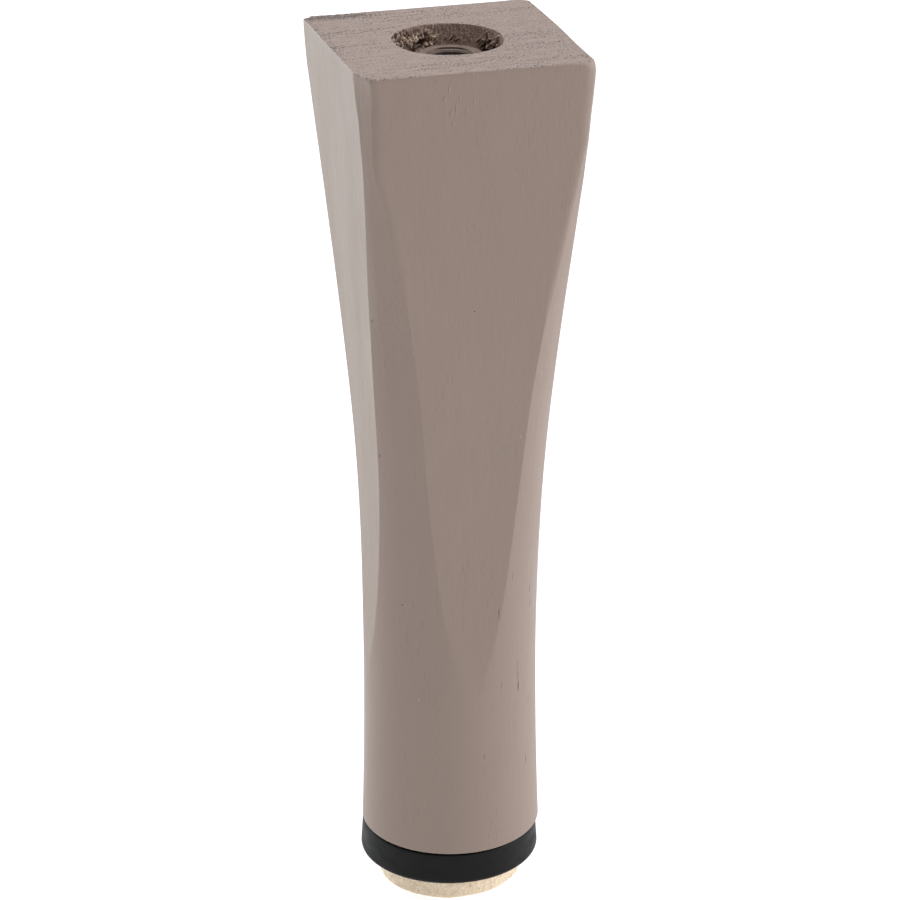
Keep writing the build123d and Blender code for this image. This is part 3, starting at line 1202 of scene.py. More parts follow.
@dataclass(frozen=True)
class TornSocket:
    """Counterbore in the top, its wall rough and torn, with the holes below it."""

    top_level: float = 175.0 * MM
    rim_radius: float = 10.46 * MM
    wall_radius: float = 10.4 * MM
    rim_depth: float = 0.07 * MM
    floor_depth: float = 5.0 * MM
    insert_offset: float = 0.6 * MM
    insert_radius: float = 5.55 * MM
    insert_end: float = 156.95 * MM
    runout_radius: float = 4.3 * MM
    runout_end: float = 146.95 * MM
    runout_point: float = 144.366 * MM
    wall_rings: int = 42
    roughness: float = 0.05 * MM
    bore_shift: float = 0.45 * MM
    worn_rim: float = 0.60 * MM
    worn_rim_depth: float = 0.55 * MM
    # Painted shade: the wall darkens towards the socket's floor.
    foot_shade: float = 0.35
    foot_shade_depth: float = 3.9 * MM
    chewed_angles: tuple[float, float] = (84.0, 176.0)
    chewed_fades: tuple[float, float] = (6.0, 16.0)
    chewed_depths: tuple[float, float] = (0.9 * MM, 5.2 * MM)
    chewed_to_rim: tuple[float, float] = (112.0, 146.0)
    chewed_ragged: float = 6.0
    chewed_sunk: float = 0.12 * MM
    chewed_relief: float = 0.70 * MM
    chewed_at_rim: float = 0.35
    pale_fibres: tuple[tuple[float, float], ...] = ((93.5, 5.5), (117.0, 10.0))
    pale_elsewhere: float = 0.40
    pit: tuple[float, float] = (102.5, 3.45 * MM)
    pit_radius: float = 0.86 * MM
    pit_flatness: float = 1.28
    pit_depth: float = 0.85 * MM
    # Painted shade in the pit.
    pit_shade: float = 0.7
    lip_share: float = 0.45
    highest_lip: float = 0.26 * MM
    lip_bare: float = 0.14
    grooves: tuple[Groove, ...] = (
        Groove((26.0, 1.0), (28.0, 2.8), 0.34, 0.80),
        Groove((27.8, 2.6), (33.0, 4.8), 0.50, 1.10),
        Groove((3.3, 0.9), (11.0, 2.7), 0.42, 0.90),
        Groove((10.0, 2.5), (20.0, 4.2), 0.52, 1.10),
        Groove((20.0, 4.4), (31.0, 4.6), 0.50, 0.90),
        Groove((27.0, 3.0), (21.5, 2.1), 0.20, 0.35),
        Groove((41.0, 3.5), (34.5, 2.4), 0.20, 0.40),
        Groove((38.6, 3.9), (31.6, 2.6), 0.20, 0.45),
        Groove((36.4, 4.3), (29.6, 3.2), 0.24, 0.50),
        Groove((26.0, 3.2), (18.6, 2.0), 0.22, 0.45),
        Groove((24.4, 3.9), (18.0, 2.9), 0.22, 0.45),
        Groove((78.2, 3.4), (73.6, 2.8), 0.14, 0.24),
        Groove((71.6, 3.5), (66.0, 2.5), 0.19, 0.34),
        Groove((65.6, 3.7), (61.4, 2.9), 0.15, 0.26),
        Groove((67.4, 2.6), (64.8, 2.0), 0.11, 0.16),
        Groove((56.0, 2.7), (53.6, 1.8), 0.10, 0.12),
    )
    splinters: int = 90

    def window(self, degrees: np.ndarray, depth: np.ndarray) -> np.ndarray:
        """How far a place lies in the chewed zone, from 0 to 1.

        The borders stray by a random relief, in degrees round the wall and in tenths of a
        millimetre down it. The upper border climbs to the rim on the left.

        Args:
            degrees: Angles, in degrees.
            depth: Depths below the top.

        Returns:
            The share.
        """
        ragged = self.chewed_ragged * relief(degrees / 360.0, depth / (8.0 * MM), (70, 9), 21)
        low, high = self.chewed_angles
        low_fade, high_fade = self.chewed_fades
        shallow, deep = self.chewed_depths
        shallow = shallow * (1.0 - 1.5 * ease(degrees, *self.chewed_to_rim))
        around = ease(degrees + ragged, low, low + low_fade) * ease(degrees + ragged, high, high - high_fade)
        down = ease(depth + ragged * 0.10 * MM, shallow - 0.3 * MM, shallow + 1.0 * MM)
        return around * down * ease(depth, deep + 0.3 * MM, deep - 0.2 * MM)

    def wall(self, angles: np.ndarray, depth: np.ndarray) -> tuple[np.ndarray, np.ndarray, np.ndarray]:
        """Relief of the wall.

        The wall stands at its radius, bored a little towards the front, where the rim is worn to a
        short slope. Upright tool marks and grit roughen all of it. In the chewed zone slanting
        strands, 1 - 2|n| of a random relief n, stand in and out: those that stand nearest the axis
        are bare and pale, and the gaps between them are darkened with painted shade. They are palest
        at two angles, on a bell round each. The pit is a well with eased sides. Each groove is a well
        round a line, with a lip beside it. The pit and the grooves get painted shade too, and so does
        the wall towards the socket's floor.

        Args:
            angles: Angles round the axis.
            depth: Depths below the top.

        Returns:
            Radii, how bare each point is, and how much painted shade it gets in its hollows, both
            from 0 to 1.
        """
        degrees = np.degrees(angles) % 360.0
        around = degrees / 360.0
        down = depth / (6.5 * MM)
        torn = self.window(degrees, depth)
        strands = 1.0 - 2.0 * np.abs(relief(around + 0.055 * down, down, (130, 5), 22))
        crossed = 1.0 - 2.0 * np.abs(relief(around - 0.035 * down, down, (150, 8), 23))
        crumbs = relief(around, down, (230, 26), 24)
        scores = relief(around + 0.02 * down, down, (160, 3), 25)
        broad = relief(around, down, (40, 5), 26)
        chewed = 0.45 * strands + 0.30 * crossed + 0.25 * crumbs
        front = -np.sin(angles)
        offset = self.roughness * (crumbs + scores + broad) + self.bore_shift * front
        offset = offset + self.worn_rim * ease(front, 0.2, 0.8) * ease(depth, self.worn_rim_depth, 0.0)
        below_rim = self.chewed_at_rim + (1.0 - self.chewed_at_rim) * ease(depth, 0.0, 1.0 * MM)
        offset = offset + torn * (self.chewed_sunk + self.chewed_relief * chewed) * below_rim
        arc = np.radians(degrees - self.pit[0]) * self.wall_radius
        pit_distance = np.hypot(arc, self.pit_flatness * (depth - self.pit[1])) * (1.0 + 0.14 * strands)
        well = ease(pit_distance, self.pit_radius * 1.15, self.pit_radius * 0.70)
        offset = offset + self.pit_depth * well
        pale = self.pale_elsewhere
        for middle, reach in self.pale_fibres:
            pale = pale + np.exp(-(((degrees - middle) / reach) ** 2))
        bare = torn * ease(-chewed + 0.25 * crumbs, -0.30, 0.15) * np.clip(pale, 0.0, 1.0)
        # Painted shade in the pit and in the gaps between the torn strands.
        hollow = np.maximum(self.pit_shade * well, 0.8 * torn * ease(chewed, 0.12, 0.42))
        for groove in self.grooves:
            near, beside = self.groove_profile(groove, degrees, depth)
            sunk = groove.depth * MM
            offset = offset + sunk * near - min(self.lip_share * sunk, self.highest_lip) * beside
            # Painted shade in each groove.
            hollow = np.maximum(hollow, ease(near, 0.15, 0.60))
            bare = np.maximum(bare, self.lip_bare * beside * (1.0 - near))
        # Painted shade, growing towards the socket's floor.
        foot = self.foot_shade * ease(depth, self.foot_shade_depth, self.floor_depth)
        return self.wall_radius + offset, bare * (1.0 - well), np.maximum(hollow, foot)

    def groove_profile(
        self, groove: Groove, degrees: np.ndarray, depth: np.ndarray
    ) -> tuple[np.ndarray, np.ndarray]:
        """How near each point of the wall is to a groove's line.

        Both ends are laid flat as (arc length, depth). The distance to the line between them gives a
        well, 1 on the line and 0 at its width, and a lip centred one and a half widths away.

        Args:
            groove: The groove.
            degrees: Angles, in degrees.
            depth: Depths below the top.

        Returns:
            The well and the lip, both from 0 to 1.
        """
        flat = np.array([self.wall_radius * math.pi / 180.0, MM])
        start = np.array(groove.start) * flat
        run = np.array(groove.end) * flat - start
        away = np.stack([degrees * flat[0] - start[0], depth - start[1]], axis=-1)
        share = np.clip(away @ run / (run @ run), 0.0, 1.0)
        distance = np.linalg.norm(away - share[..., None] * run, axis=-1)
        taper = groove.width * MM * (1.0 - 0.6 * (2.0 * share - 1.0) ** 2)
        lip = np.clip(1.0 - np.abs(distance / taper - 1.6) / 0.7, 0.0, 1.0)
        return ease(distance / taper, 1.0, 0.15), lip

    def rings(self, angles: np.ndarray) -> tuple[np.ndarray, np.ndarray, np.ndarray]:
        """Rings of points from the rim down to the point of the run-out.

        Args:
            angles: Angles round the axis.

        Returns:
            Points by ring and angle, how torn each is, and how much painted shade it gets.
        """
        depths = np.linspace(self.rim_depth, self.floor_depth, self.wall_rings)
        depth_grid, angle_grid = np.meshgrid(depths, angles, indexing="ij")
        radii, torn, hollow = self.wall(angle_grid, depth_grid)
        wall = ring(radii, angle_grid, self.top_level - depth_grid)
        rim_radii = self.rim_radius - self.wall_radius + radii[0]
        rim = ring(rim_radii, angles, self.top_level)[None]
        floor_level = self.top_level - self.floor_depth
        below = lathe(
            (
                (0.5 * (self.wall_radius + self.insert_radius), floor_level),
                (self.insert_radius + 0.3 * MM, floor_level),
                (self.insert_radius, floor_level),
                (self.insert_radius, self.insert_end),
                (self.runout_radius, self.insert_end),
                (self.runout_radius, self.runout_end),
            ),
            angles,
            self.insert_offset,
        )
        plain = np.zeros((len(below), angles.size))
        points = np.concatenate([rim, wall, below])
        torn = np.concatenate([torn[:1] * 0.0, torn, plain])
        hollow = np.concatenate([hollow[:1] * 0.0, hollow, plain])
        return points, torn, hollow

    def add_splinters(self, shell: Shell) -> None:
        """Add the torn fibres: thin blades that spring from the chewed wall and curl inwards.

        A blade's middle line is foot + t run + t^2 curl, with t from 0 to 1. Its section is a flat
        oval that narrows as 1 - t^2 and closes at both ends.

        Args:
            shell: Shell to add them to.
        """
        random = np.random.default_rng(31)
        right = self.splinters // 3
        left = self.splinters - right
        degrees = np.concatenate([random.uniform(87.0, 96.5, right), random.uniform(109.0, 142.0, left)])
        depths = np.concatenate([random.uniform(2.6, 4.0, right), random.uniform(2.0, 4.6, left)]) * MM
        along = np.linspace(0.0, 1.0, 7)[:, None]
        section = np.linspace(0.0, FULL_TURN, 6, endpoint=False)[None, :]
        for angle, depth in zip(np.radians(degrees), depths):
            outwards = np.array([math.cos(angle), math.sin(angle), 0.0])
            sideways = np.array([-math.sin(angle), math.cos(angle), 0.0])
            up = np.array([0.0, 0.0, 1.0])
            radius = float(self.wall(np.array([angle]), np.array([depth]))[0][0])
            length = random.uniform(0.5, 1.5) * MM
            slant = random.normal(0.55, 0.45)
            run = math.cos(slant) * up - math.sin(slant) * sideways
            run = length * (run - random.uniform(0.15, 0.55) * outwards)
            curl = length * random.uniform(-0.25, 0.25) * sideways
            curl = curl - length * random.uniform(0.0, 0.25) * outwards
            foot = (radius + 0.12 * MM) * outwards + (self.top_level - depth) * up
            middle = foot + along * run + along**2 * curl
            width = random.uniform(0.05, 0.12) * MM * (1.0 - 0.85 * along**2)
            thick = 0.35 * width
            across = np.cross(run / np.linalg.norm(run), outwards)
            normal = np.cross(across, run / np.linalg.norm(run))
            blade = (
                middle[:, None, :]
                + (width * np.cos(section))[..., None] * across
                + (thick * np.sin(section))[..., None] * normal
            )
            bare = random.uniform(0.60, 1.0) if angle < math.radians(100.0) else random.uniform(0.2, 1.0)
            shell.add(blade, (middle[0], middle[-1] + 0.02 * run), Cut.BORED.value, torn=bare, hollow=0.0)


@dataclass(frozen=True)
class Chip:
    """Small chip out of the top's edge, in millimetres: its place in plan, its reach and its depth."""

    across: float
    deep: float
    reach: float
    depth: float


@dataclass(frozen=True)
class TopEdge:
    """Hand-sanded top edge at one angle in degrees: its height and its inset, in millimetres."""

    angle: float
    drop: float
    inset: float


@dataclass(frozen=True)
class PaintedLeg:
    """Wooden body: turned and scooped outside, sanded edges, end grain on top, and the socket."""

    form: LegForm = field(default_factory=LegForm)
    socket: TornSocket = field(default_factory=TornSocket)
    side_rings: int = 118
    side_end: float = 171.4 * MM
    top_edge: tuple[TopEdge, ...] = (
        TopEdge(-180.0, 0.16, 0.10),
        TopEdge(-147.0, 0.16, 0.10),
        TopEdge(-142.0, 0.40, 0.14),
        TopEdge(-137.0, 0.80, 0.22),
        TopEdge(-132.0, 0.85, 0.32),
        TopEdge(-128.0, 0.52, 0.46),
        TopEdge(-115.0, 0.40, 0.42),
        TopEdge(-90.0, 0.36, 0.40),
        TopEdge(-70.0, 0.48, 0.52),
        TopEdge(-53.0, 0.62, 0.64),
        TopEdge(-48.0, 1.20, 0.70),
        TopEdge(-45.0, 2.20, 0.80),
        TopEdge(-41.0, 2.40, 0.75),
        TopEdge(-27.0, 2.60, 0.60),
        TopEdge(-10.0, 1.60, 0.35),
        TopEdge(9.0, 0.50, 0.20),
        TopEdge(26.0, 0.25, 0.20),
        TopEdge(45.0, 0.30, 0.30),
        TopEdge(52.0, 0.80, 0.80),
        TopEdge(128.0, 0.85, 0.85),
        TopEdge(135.0, 0.50, 0.50),
        TopEdge(141.0, 0.20, 0.14),
        TopEdge(180.0, 0.16, 0.10),
    )
    foot_edge: float = 0.5 * MM
    pilot_radius: float = 1.95 * MM
    pilot_tip_radius: float = 0.35 * MM
    pilot_straight_end: float = 26.25 * MM
    pilot_end: float = 31.30 * MM
    pilot_offset: float = -0.3 * MM
    foot_strips: int = 5
    edge_strips: int = 4
    back_wear: float = 1.25
    left_wear: float = 0.5
    front_calm: float = 0.45
    chips: tuple[Chip, ...] = (
        Chip(-21.4, 21.6, 1.0, 0.10),
        Chip(-19.6, 21.7, 0.7, 0.08),
        Chip(-17.8, 21.4, 0.8, 0.10),
        Chip(-16.2, 21.8, 0.6, 0.08),
        Chip(-14.6, 21.6, 0.8, 0.10),
        Chip(-13.2, 21.9, 0.5, 0.07),
        Chip(-11.9, 21.6, 0.7, 0.08),
        Chip(-22.3, 9.8, 0.6, 0.12),
        Chip(-22.3, 1.2, 0.6, 0.12),
        Chip(-22.3, -2.8, 0.5, 0.10),
        Chip(-22.3, -13.6, 0.5, 0.08),
    )

    def socket_angles(self) -> np.ndarray:
        """Angles of the columns in the socket, closer together at its back, where the camera looks."""
        count = 4 * (2 * self.form.flat_columns + self.form.strip_columns)
        even = np.linspace(0.0, FULL_TURN, count, endpoint=False)
        return even + 0.3 * np.cos(even)

    def foot_rings(self, angles: np.ndarray) -> np.ndarray:
        """Rings from the pilot hole's tip, over the foot's face, to the rounded foot edge."""
        pilot = lathe(
            (
                (self.pilot_tip_radius, self.pilot_end),
                (self.pilot_radius, self.pilot_straight_end),
                (self.pilot_radius, self.form.foot_level),
            ),
            angles,
            self.pilot_offset,
        )
        level = np.full(angles.shape, self.form.foot_level)
        outer = self.form.radius(angles, level + self.foot_edge)
        face = [ring((outer - self.foot_edge) * share, angles, level) for share in (0.35, 0.70, 0.97)]
        turns = np.radians(np.linspace(-90.0, -12.0, 6))
        edge = [
            ring(
                outer - self.foot_edge * (1.0 - math.cos(turn)),
                angles,
                self.form.foot_level + self.foot_edge * (1.0 + math.sin(turn)),
            )
            for turn in turns
        ]
        return np.concatenate([pilot, np.stack(face + edge)])

    def side(self) -> tuple[np.ndarray, np.ndarray]:
        """Rings of the side, from the foot edge to just below the top edge.

        Returns:
            Points by ring and column, and the angles of the columns at each ring.
        """
        levels = np.linspace(self.form.foot_level + self.foot_edge, self.side_end, self.side_rings)
        angles = self.form.spread(levels)
        level_grid = np.broadcast_to(levels[:, None], angles.shape)
        return ring(self.form.radius(angles, level_grid), angles, level_grid), angles

    def edge_sizes(self, angles: np.ndarray) -> tuple[np.ndarray, np.ndarray]:
        """Height and inset of the rounded top edge, taken between the angles of its table.

        Args:
            angles: Angles of the columns.

        Returns:
            Heights and insets.
        """
        degrees = np.degrees(np.angle(np.exp(1j * angles)))
        known = [edge.angle for edge in self.top_edge]
        drop = np.interp(degrees, known, [edge.drop * MM for edge in self.top_edge])
        inset = np.interp(degrees, known, [edge.inset * MM for edge in self.top_edge])
        return drop, inset

    def top_rings(self, angles: np.ndarray) -> np.ndarray:
        """Rings over the sanded top edge and in across the end grain.

        Two rings lead up to where the edge begins. From there every face is moved inwards by the
        inset times 1 - cos t, and up by the height times sin t, with t from 0 to 90 degrees. The end
        grain runs from the last of these rings to the socket's rim.

        Args:
            angles: Angles of the columns at the side's last ring.

        Returns:
            Points by ring and column.
        """
        drop, inset = self.edge_sizes(angles)
        start = self.form.top_level - drop
        rings = []
        for share in (0.35, 0.7):
            level = self.side_end + (start - self.side_end) * share
            rings.append(ring(self.form.radius(angles, level), angles, level))
        for turn in np.radians(np.linspace(0.0, 90.0, 8)):
            radii = self.form.radius(angles, start, inset * (1.0 - math.cos(turn)))
            rings.append(ring(radii, angles, start + drop * math.sin(turn)))
        edge = rings[-1]
        rim = ring(self.socket.rim_radius, self.socket_angles(), self.form.top_level)
        for share in (0.02, 0.05, 0.10, 0.18, 0.30, 0.45, 0.62, 0.80, 0.94):
            rings.append(edge + (rim - edge) * share)
        return np.stack(rings)

    def chipped(self, points: np.ndarray) -> tuple[np.ndarray, np.ndarray]:
        """Press the chips into the top edge.

        Each chip lowers a point by its depth times (1 - (distance / reach)^2)^2, and moves it
        inwards by as much.

        Args:
            points: Points by ring and column.

        Returns:
            The moved points, and how chipped each is, from 0 to 1.
        """
        share = np.zeros(points.shape[:2])
        sunk = np.zeros(points.shape[:2])
        for chip in self.chips:
            centre = np.array([chip.across * MM, chip.deep * MM, self.form.top_level])
            distance = np.linalg.norm(points - centre, axis=-1) / (chip.reach * MM)
            fall = np.clip(1.0 - distance**2, 0.0, None) ** 2
            share = np.maximum(share, fall)
            sunk = np.maximum(sunk, fall * chip.depth * MM)
        flat = points[..., :2] / np.linalg.norm(points[..., :2], axis=-1, keepdims=True)
        moved = points.copy()
        moved[..., :2] -= flat * sunk[..., None]
        moved[..., 2] -= sunk
        return moved, share

    def worn(self, points: np.ndarray) -> np.ndarray:
        """How open the pores are on the top: most along the back edge's left part, least in front."""
        across = points[..., 0]
        deep = points[..., 1]
        back = ease(deep, 16.5 * MM, 20.5 * MM) * ease(across, -3.0 * MM, -13.0 * MM)
        left = ease(across, -20.0 * MM, -22.0 * MM) * ease(deep, -13.0 * MM, -9.0 * MM)
        front = ease(deep, 2.0 * MM, -12.0 * MM) * ease(across, -21.5 * MM, -14.0 * MM)
        return np.maximum(self.back_wear * back, self.left_wear * left) - self.front_calm * front

    def build(self) -> bpy.types.Object:
        """Build the wooden body as one closed mesh.

        The strips up the pilot hole and over the foot's face are bored wood, and so is the socket.
        The end grain begins part of the way over the top edge.

        Returns:
            The piece.
        """
        side, side_angles = self.side()
        foot = self.foot_rings(side_angles[0])
        top, chipped = self.chipped(self.top_rings(side_angles[-1]))
        bored, torn, hollow = self.socket.rings(self.socket_angles())
        grid = np.concatenate([foot, side, top, bored])
        before = len(foot) + len(side)
        plain = np.zeros((before, grid.shape[1]))
        none = np.zeros(bored.shape[:2])
        slots = np.full(len(grid) - 1, Cut.LONG_GRAIN.value)
        slots[: self.foot_strips] = Cut.BORED.value
        slots[before + self.edge_strips :] = Cut.END_GRAIN.value
        slots[before + len(top) :] = Cut.BORED.value
        worn = np.concatenate([plain, np.maximum(self.worn(top), chipped), none])
        no_wear = np.zeros((before + len(top), grid.shape[1]))
        # The hollow mark carries the painted shade of the socket's recesses.
        shell = Shell("worn", "torn", "hollow")
        shell.add(
            grid,
            (
                np.array([self.pilot_offset, 0.0, self.pilot_end]),
                np.array([self.socket.insert_offset, 0.0, self.socket.runout_point]),
            ),
            slots,
            worn=worn,
            torn=np.concatenate([no_wear, torn]),
            hollow=np.concatenate([no_wear, hollow]),
        )
        self.socket.add_splinters(shell)
        return shell.piece("painted_leg", 48.0)

    def dress(self, piece: bpy.types.Object) -> None:
        """Give the body its three finishes, in the order of its cuts."""
        piece.data.materials.append(SatinPaint().material(SIDE_MARKS, self.form))
        piece.data.materials.append(EndGrainPaint().material())
        piece.data.materials.append(BoredWood().material())
        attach(piece, "root")
        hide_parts("leg_body")


@dataclass(frozen=True)
class ThreadedInsert:
    """Steel insert in the socket: flat collar, countersunk mouth and internal thread."""

    offset: float = 0.6 * MM
    collar_top: float = 172.0 * MM
    collar_seat: float = 170.0 * MM
    collar_radius: float = 6.35 * MM
    collar_edge: float = 0.5 * MM
    barrel_radius: float = 5.5 * MM
    barrel_end: float = 157.0 * MM
    mouth_radius: float = 4.5 * MM
    mouth_depth: float = 1.3 * MM
    mouth_edge: float = 0.16 * MM
    paint_sag: float = 0.05 * MM
    lead_angle: float = 70.0
    lead_spread: float = 50.0
    groove_depth: float = 0.30 * MM
    groove_level: float = 0.32 * MM
    groove_width: float = 0.11 * MM
    # Where the mouth's groove and the bore below it are bare steel with painted shade.
    bare_shade_level: float = 0.30 * MM
    bare_shade_width: float = 0.08 * MM
    bare_shade_start: tuple[float, float] = (0.92 * MM, 1.02 * MM)
    crest_radius: float = 3.4 * MM
    root_radius: float = 4.0 * MM
    pitch: float = 1.25 * MM
    columns: int = 160
    thread_rings: int = 150

    def thread(self, angles: np.ndarray) -> np.ndarray:
        """Rings of the threaded bore, from the mouth down.

        The radius goes from crest to root and back once per pitch, as the height over the pitch less
        the turn goes through one, with flats at both: the share is 2|frac - 1/2| stretched and
        clipped. It fades to the plain crest at the bore's lower end.

        Args:
            angles: Angles round the axis.

        Returns:
            Points by ring and angle.
        """
        foot = self.barrel_end + 0.1 * MM
        levels = np.linspace(self.collar_top - self.mouth_depth, foot, self.thread_rings)
        level_grid, angle_grid = np.meshgrid(levels, angles, indexing="ij")
        turns = (level_grid - self.barrel_end) / self.pitch - angle_grid / FULL_TURN
        swing = np.abs((turns % 1.0) - 0.5) * 2.0
        share = np.clip((swing - 0.15) / 0.62, 0.0, 1.0)
        share = share * ease(level_grid, foot, self.barrel_end + 1.2 * MM)
        radii = self.crest_radius + (self.root_radius - self.crest_radius) * share
        return ring(radii, angle_grid, level_grid, self.offset)

    def lead(self, angles: np.ndarray) -> np.ndarray:
        """How open the thread's lead-in is: 1 at its angle, and 0 from its spread on either side."""
        away = np.abs(np.degrees(np.angle(np.exp(1j * (angles - math.radians(self.lead_angle))))))
        return ease(away, self.lead_spread, 0.3 * self.lead_spread)

    def mouth(self, lead: np.ndarray, depth: float) -> np.ndarray:
        """Radii of the mouth at one depth: a cone with a groove just below its edge.

        The cone narrows from the mouth's radius to the thread's root at its foot. The groove is a
        bell, depth times exp -((depth - level) / width)^2, and as open as the lead-in.

        Args:
            lead: How open the lead-in is at each angle.
            depth: Depth below the collar's top.

        Returns:
            Radii by angle.
        """
        share = depth / self.mouth_depth
        cone = self.mouth_radius - (self.mouth_radius - self.root_radius) * share
        bell = math.exp(-(((depth - self.groove_level) / self.groove_width) ** 2))
        return cone + self.groove_depth * lead * bell

    def build(self) -> bpy.types.Object:
        """Build the insert as one closed ring, its painted collar slightly uneven.

        It is bare steel in the groove round its mouth, and from a little way down the mouth; there its
        near-black colour is painted shade.

        Returns:
            The piece.
        """
        angles = np.linspace(0.0, FULL_TURN, self.columns, endpoint=False)
        outer = self.collar_radius - self.collar_edge
        outside = [
            (self.crest_radius, self.barrel_end),
            (self.barrel_radius, self.barrel_end),
            (self.barrel_radius, self.collar_seat),
            (self.collar_radius, self.collar_seat),
            (self.collar_radius, self.collar_top - self.collar_edge),
        ]
        corner = (outer, self.collar_top - self.collar_edge)
        outside += rounded_corner(corner, self.collar_edge, 15.0, 90.0, 6)
        face = np.linspace(outer - 0.2 * MM, self.mouth_radius + 0.22 * MM, 6)
        outside += [(radius, self.collar_top) for radius in face.tolist()]
        corner = (self.mouth_radius + self.mouth_edge, self.collar_top - self.mouth_edge)
        outside += rounded_corner(corner, self.mouth_edge, 90.0, 160.0, 5)
        mouth = np.linspace(0.20 * MM, self.mouth_depth, 23)
        outside += [(self.mouth_radius, self.collar_top - depth) for depth in mouth.tolist()]
        turned = lathe(outside, angles, self.offset)
        lead = self.lead(angles)
        for row, depth in enumerate(mouth.tolist(), len(outside) - len(mouth)):
            turned[row] = ring(self.mouth(lead, depth), angles, self.collar_top - depth, self.offset)
        around = np.broadcast_to(angles / FULL_TURN, turned.shape[:2])
        lump = relief(around, turned[..., 2] / (9.0 * MM) + 0.31, (26, 9), 41)
        painted = ease(turned[..., 2], self.collar_seat + 0.6 * MM, self.collar_top - 0.2 * MM)
        turned[..., 2] -= self.paint_sag * painted * (1.0 + lump)
        thread = self.thread(angles)
        grid = np.concatenate([turned, thread])
        depth = self.collar_top - grid[..., 2]
        inside = np.arange(len(grid))[:, None] >= len(outside) - len(mouth)
        # Painted shade: the bare mark darkens the groove round the mouth and the bore below it.
        groove = lead * np.exp(-(((depth - self.bare_shade_level) / self.bare_shade_width) ** 2))
        bare = np.maximum(0.85 * groove, ease(depth, *self.bare_shade_start))
        shell = Shell("bare")
        shell.add(grid, bare=np.where(inside, bare, 0.0))
        return shell.piece("painted_insert", 50.0)

    def dress(self, piece: bpy.types.Object) -> None:
        """Give the insert its painted steel."""
        piece.data.materials.append(PaintedSteel().material())
        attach(piece, "root")
        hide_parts("threaded_insert")


@dataclass(frozen=True)
class FloorGlide:
    """Moulded glide: slightly flared outside, rounded lower edge, recess and countersink below."""

    offset: float = -0.3 * MM
    top_level: float = 12.0 * MM
    bottom_level: float = 5.2 * MM
    top_radius: float = 17.6 * MM
    wide_radius: float = 17.95 * MM
    edge_radius: float = 1.0 * MM
    top_edge: float = 0.4 * MM
    edge_run: float = 0.1 * MM
    sink: float = 0.03 * MM
    seat_radius: float = 14.5 * MM
    seat_rise: float = 0.22 * MM
    recess_radius: float = 14.45 * MM
    recess_level: float = 6.2 * MM
    countersink_radius: float = 4.25 * MM
    shank_radius: float = 2.05 * MM
    shank_start: float = 8.40 * MM
    columns: int = 320

    def profile(self) -> list[tuple[float, float]]:
        """Closed section, from the recess's edge out, up the outside and down the screw's hole."""
        centre = (self.wide_radius - self.edge_radius, self.bottom_level + self.edge_radius)
        section = [
            (self.recess_radius, self.bottom_level),
            (self.recess_radius + self.edge_run, self.bottom_level),
            (centre[0] - self.edge_run, self.bottom_level),
        ]
        section += rounded_corner(centre, self.edge_radius, -90.0, 0.0, 12)
        brim = self.top_level - self.seat_rise
        rise = brim - self.top_edge - centre[1]
        narrowing = self.wide_radius - self.top_radius
        for share in np.linspace(0.04, 1.0, 14).tolist():
            section.append((self.wide_radius - narrowing * share, centre[1] + rise * share))
        corner = (self.top_radius - self.top_edge, brim - self.top_edge)
        section += rounded_corner(corner, self.top_edge, 12.0, 90.0, 7)
        section += [
            (corner[0] - 0.15 * MM, brim),
            (self.seat_radius + self.seat_rise, brim),
            (self.seat_radius, self.top_level),
            (self.shank_radius, self.top_level),
            (self.shank_radius, self.shank_start),
            (self.countersink_radius, self.recess_level),
            (self.recess_radius - self.edge_run, self.recess_level),
            (self.recess_radius, self.recess_level),
        ]
        return section

    def build(self) -> bpy.types.Object:
        """Build the glide as one closed ring, its outside very slightly sunk as moulded plastic is.

        Returns:
            The piece.
        """
        angles = np.linspace(0.0, FULL_TURN, self.columns, endpoint=False)
        points = lathe(self.profile(), angles, self.offset)
        radii = np.hypot(points[..., 0] - self.offset, points[..., 1])
        outside = ease(radii, self.top_radius - 0.2 * MM, self.top_radius + 0.05 * MM)
        around = np.broadcast_to(angles / FULL_TURN, radii.shape)
        sunk = relief(around, points[..., 2] / (16.0 * MM), (13, 3), 51)
        sink = self.sink * (1.0 + sunk) * outside
        points[..., 0] -= sink * np.cos(angles)
        points[..., 1] -= sink * np.sin(angles)
        shell = Shell()
        shell.add(points)
        return shell.piece("moulded_glide", 40.0)

    def dress(self, piece: bpy.types.Object) -> None:
        """Give the glide its plastic."""
        piece.data.materials.append(MouldedPlastic().material())
        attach(piece, "root")
        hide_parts("floor_glide")


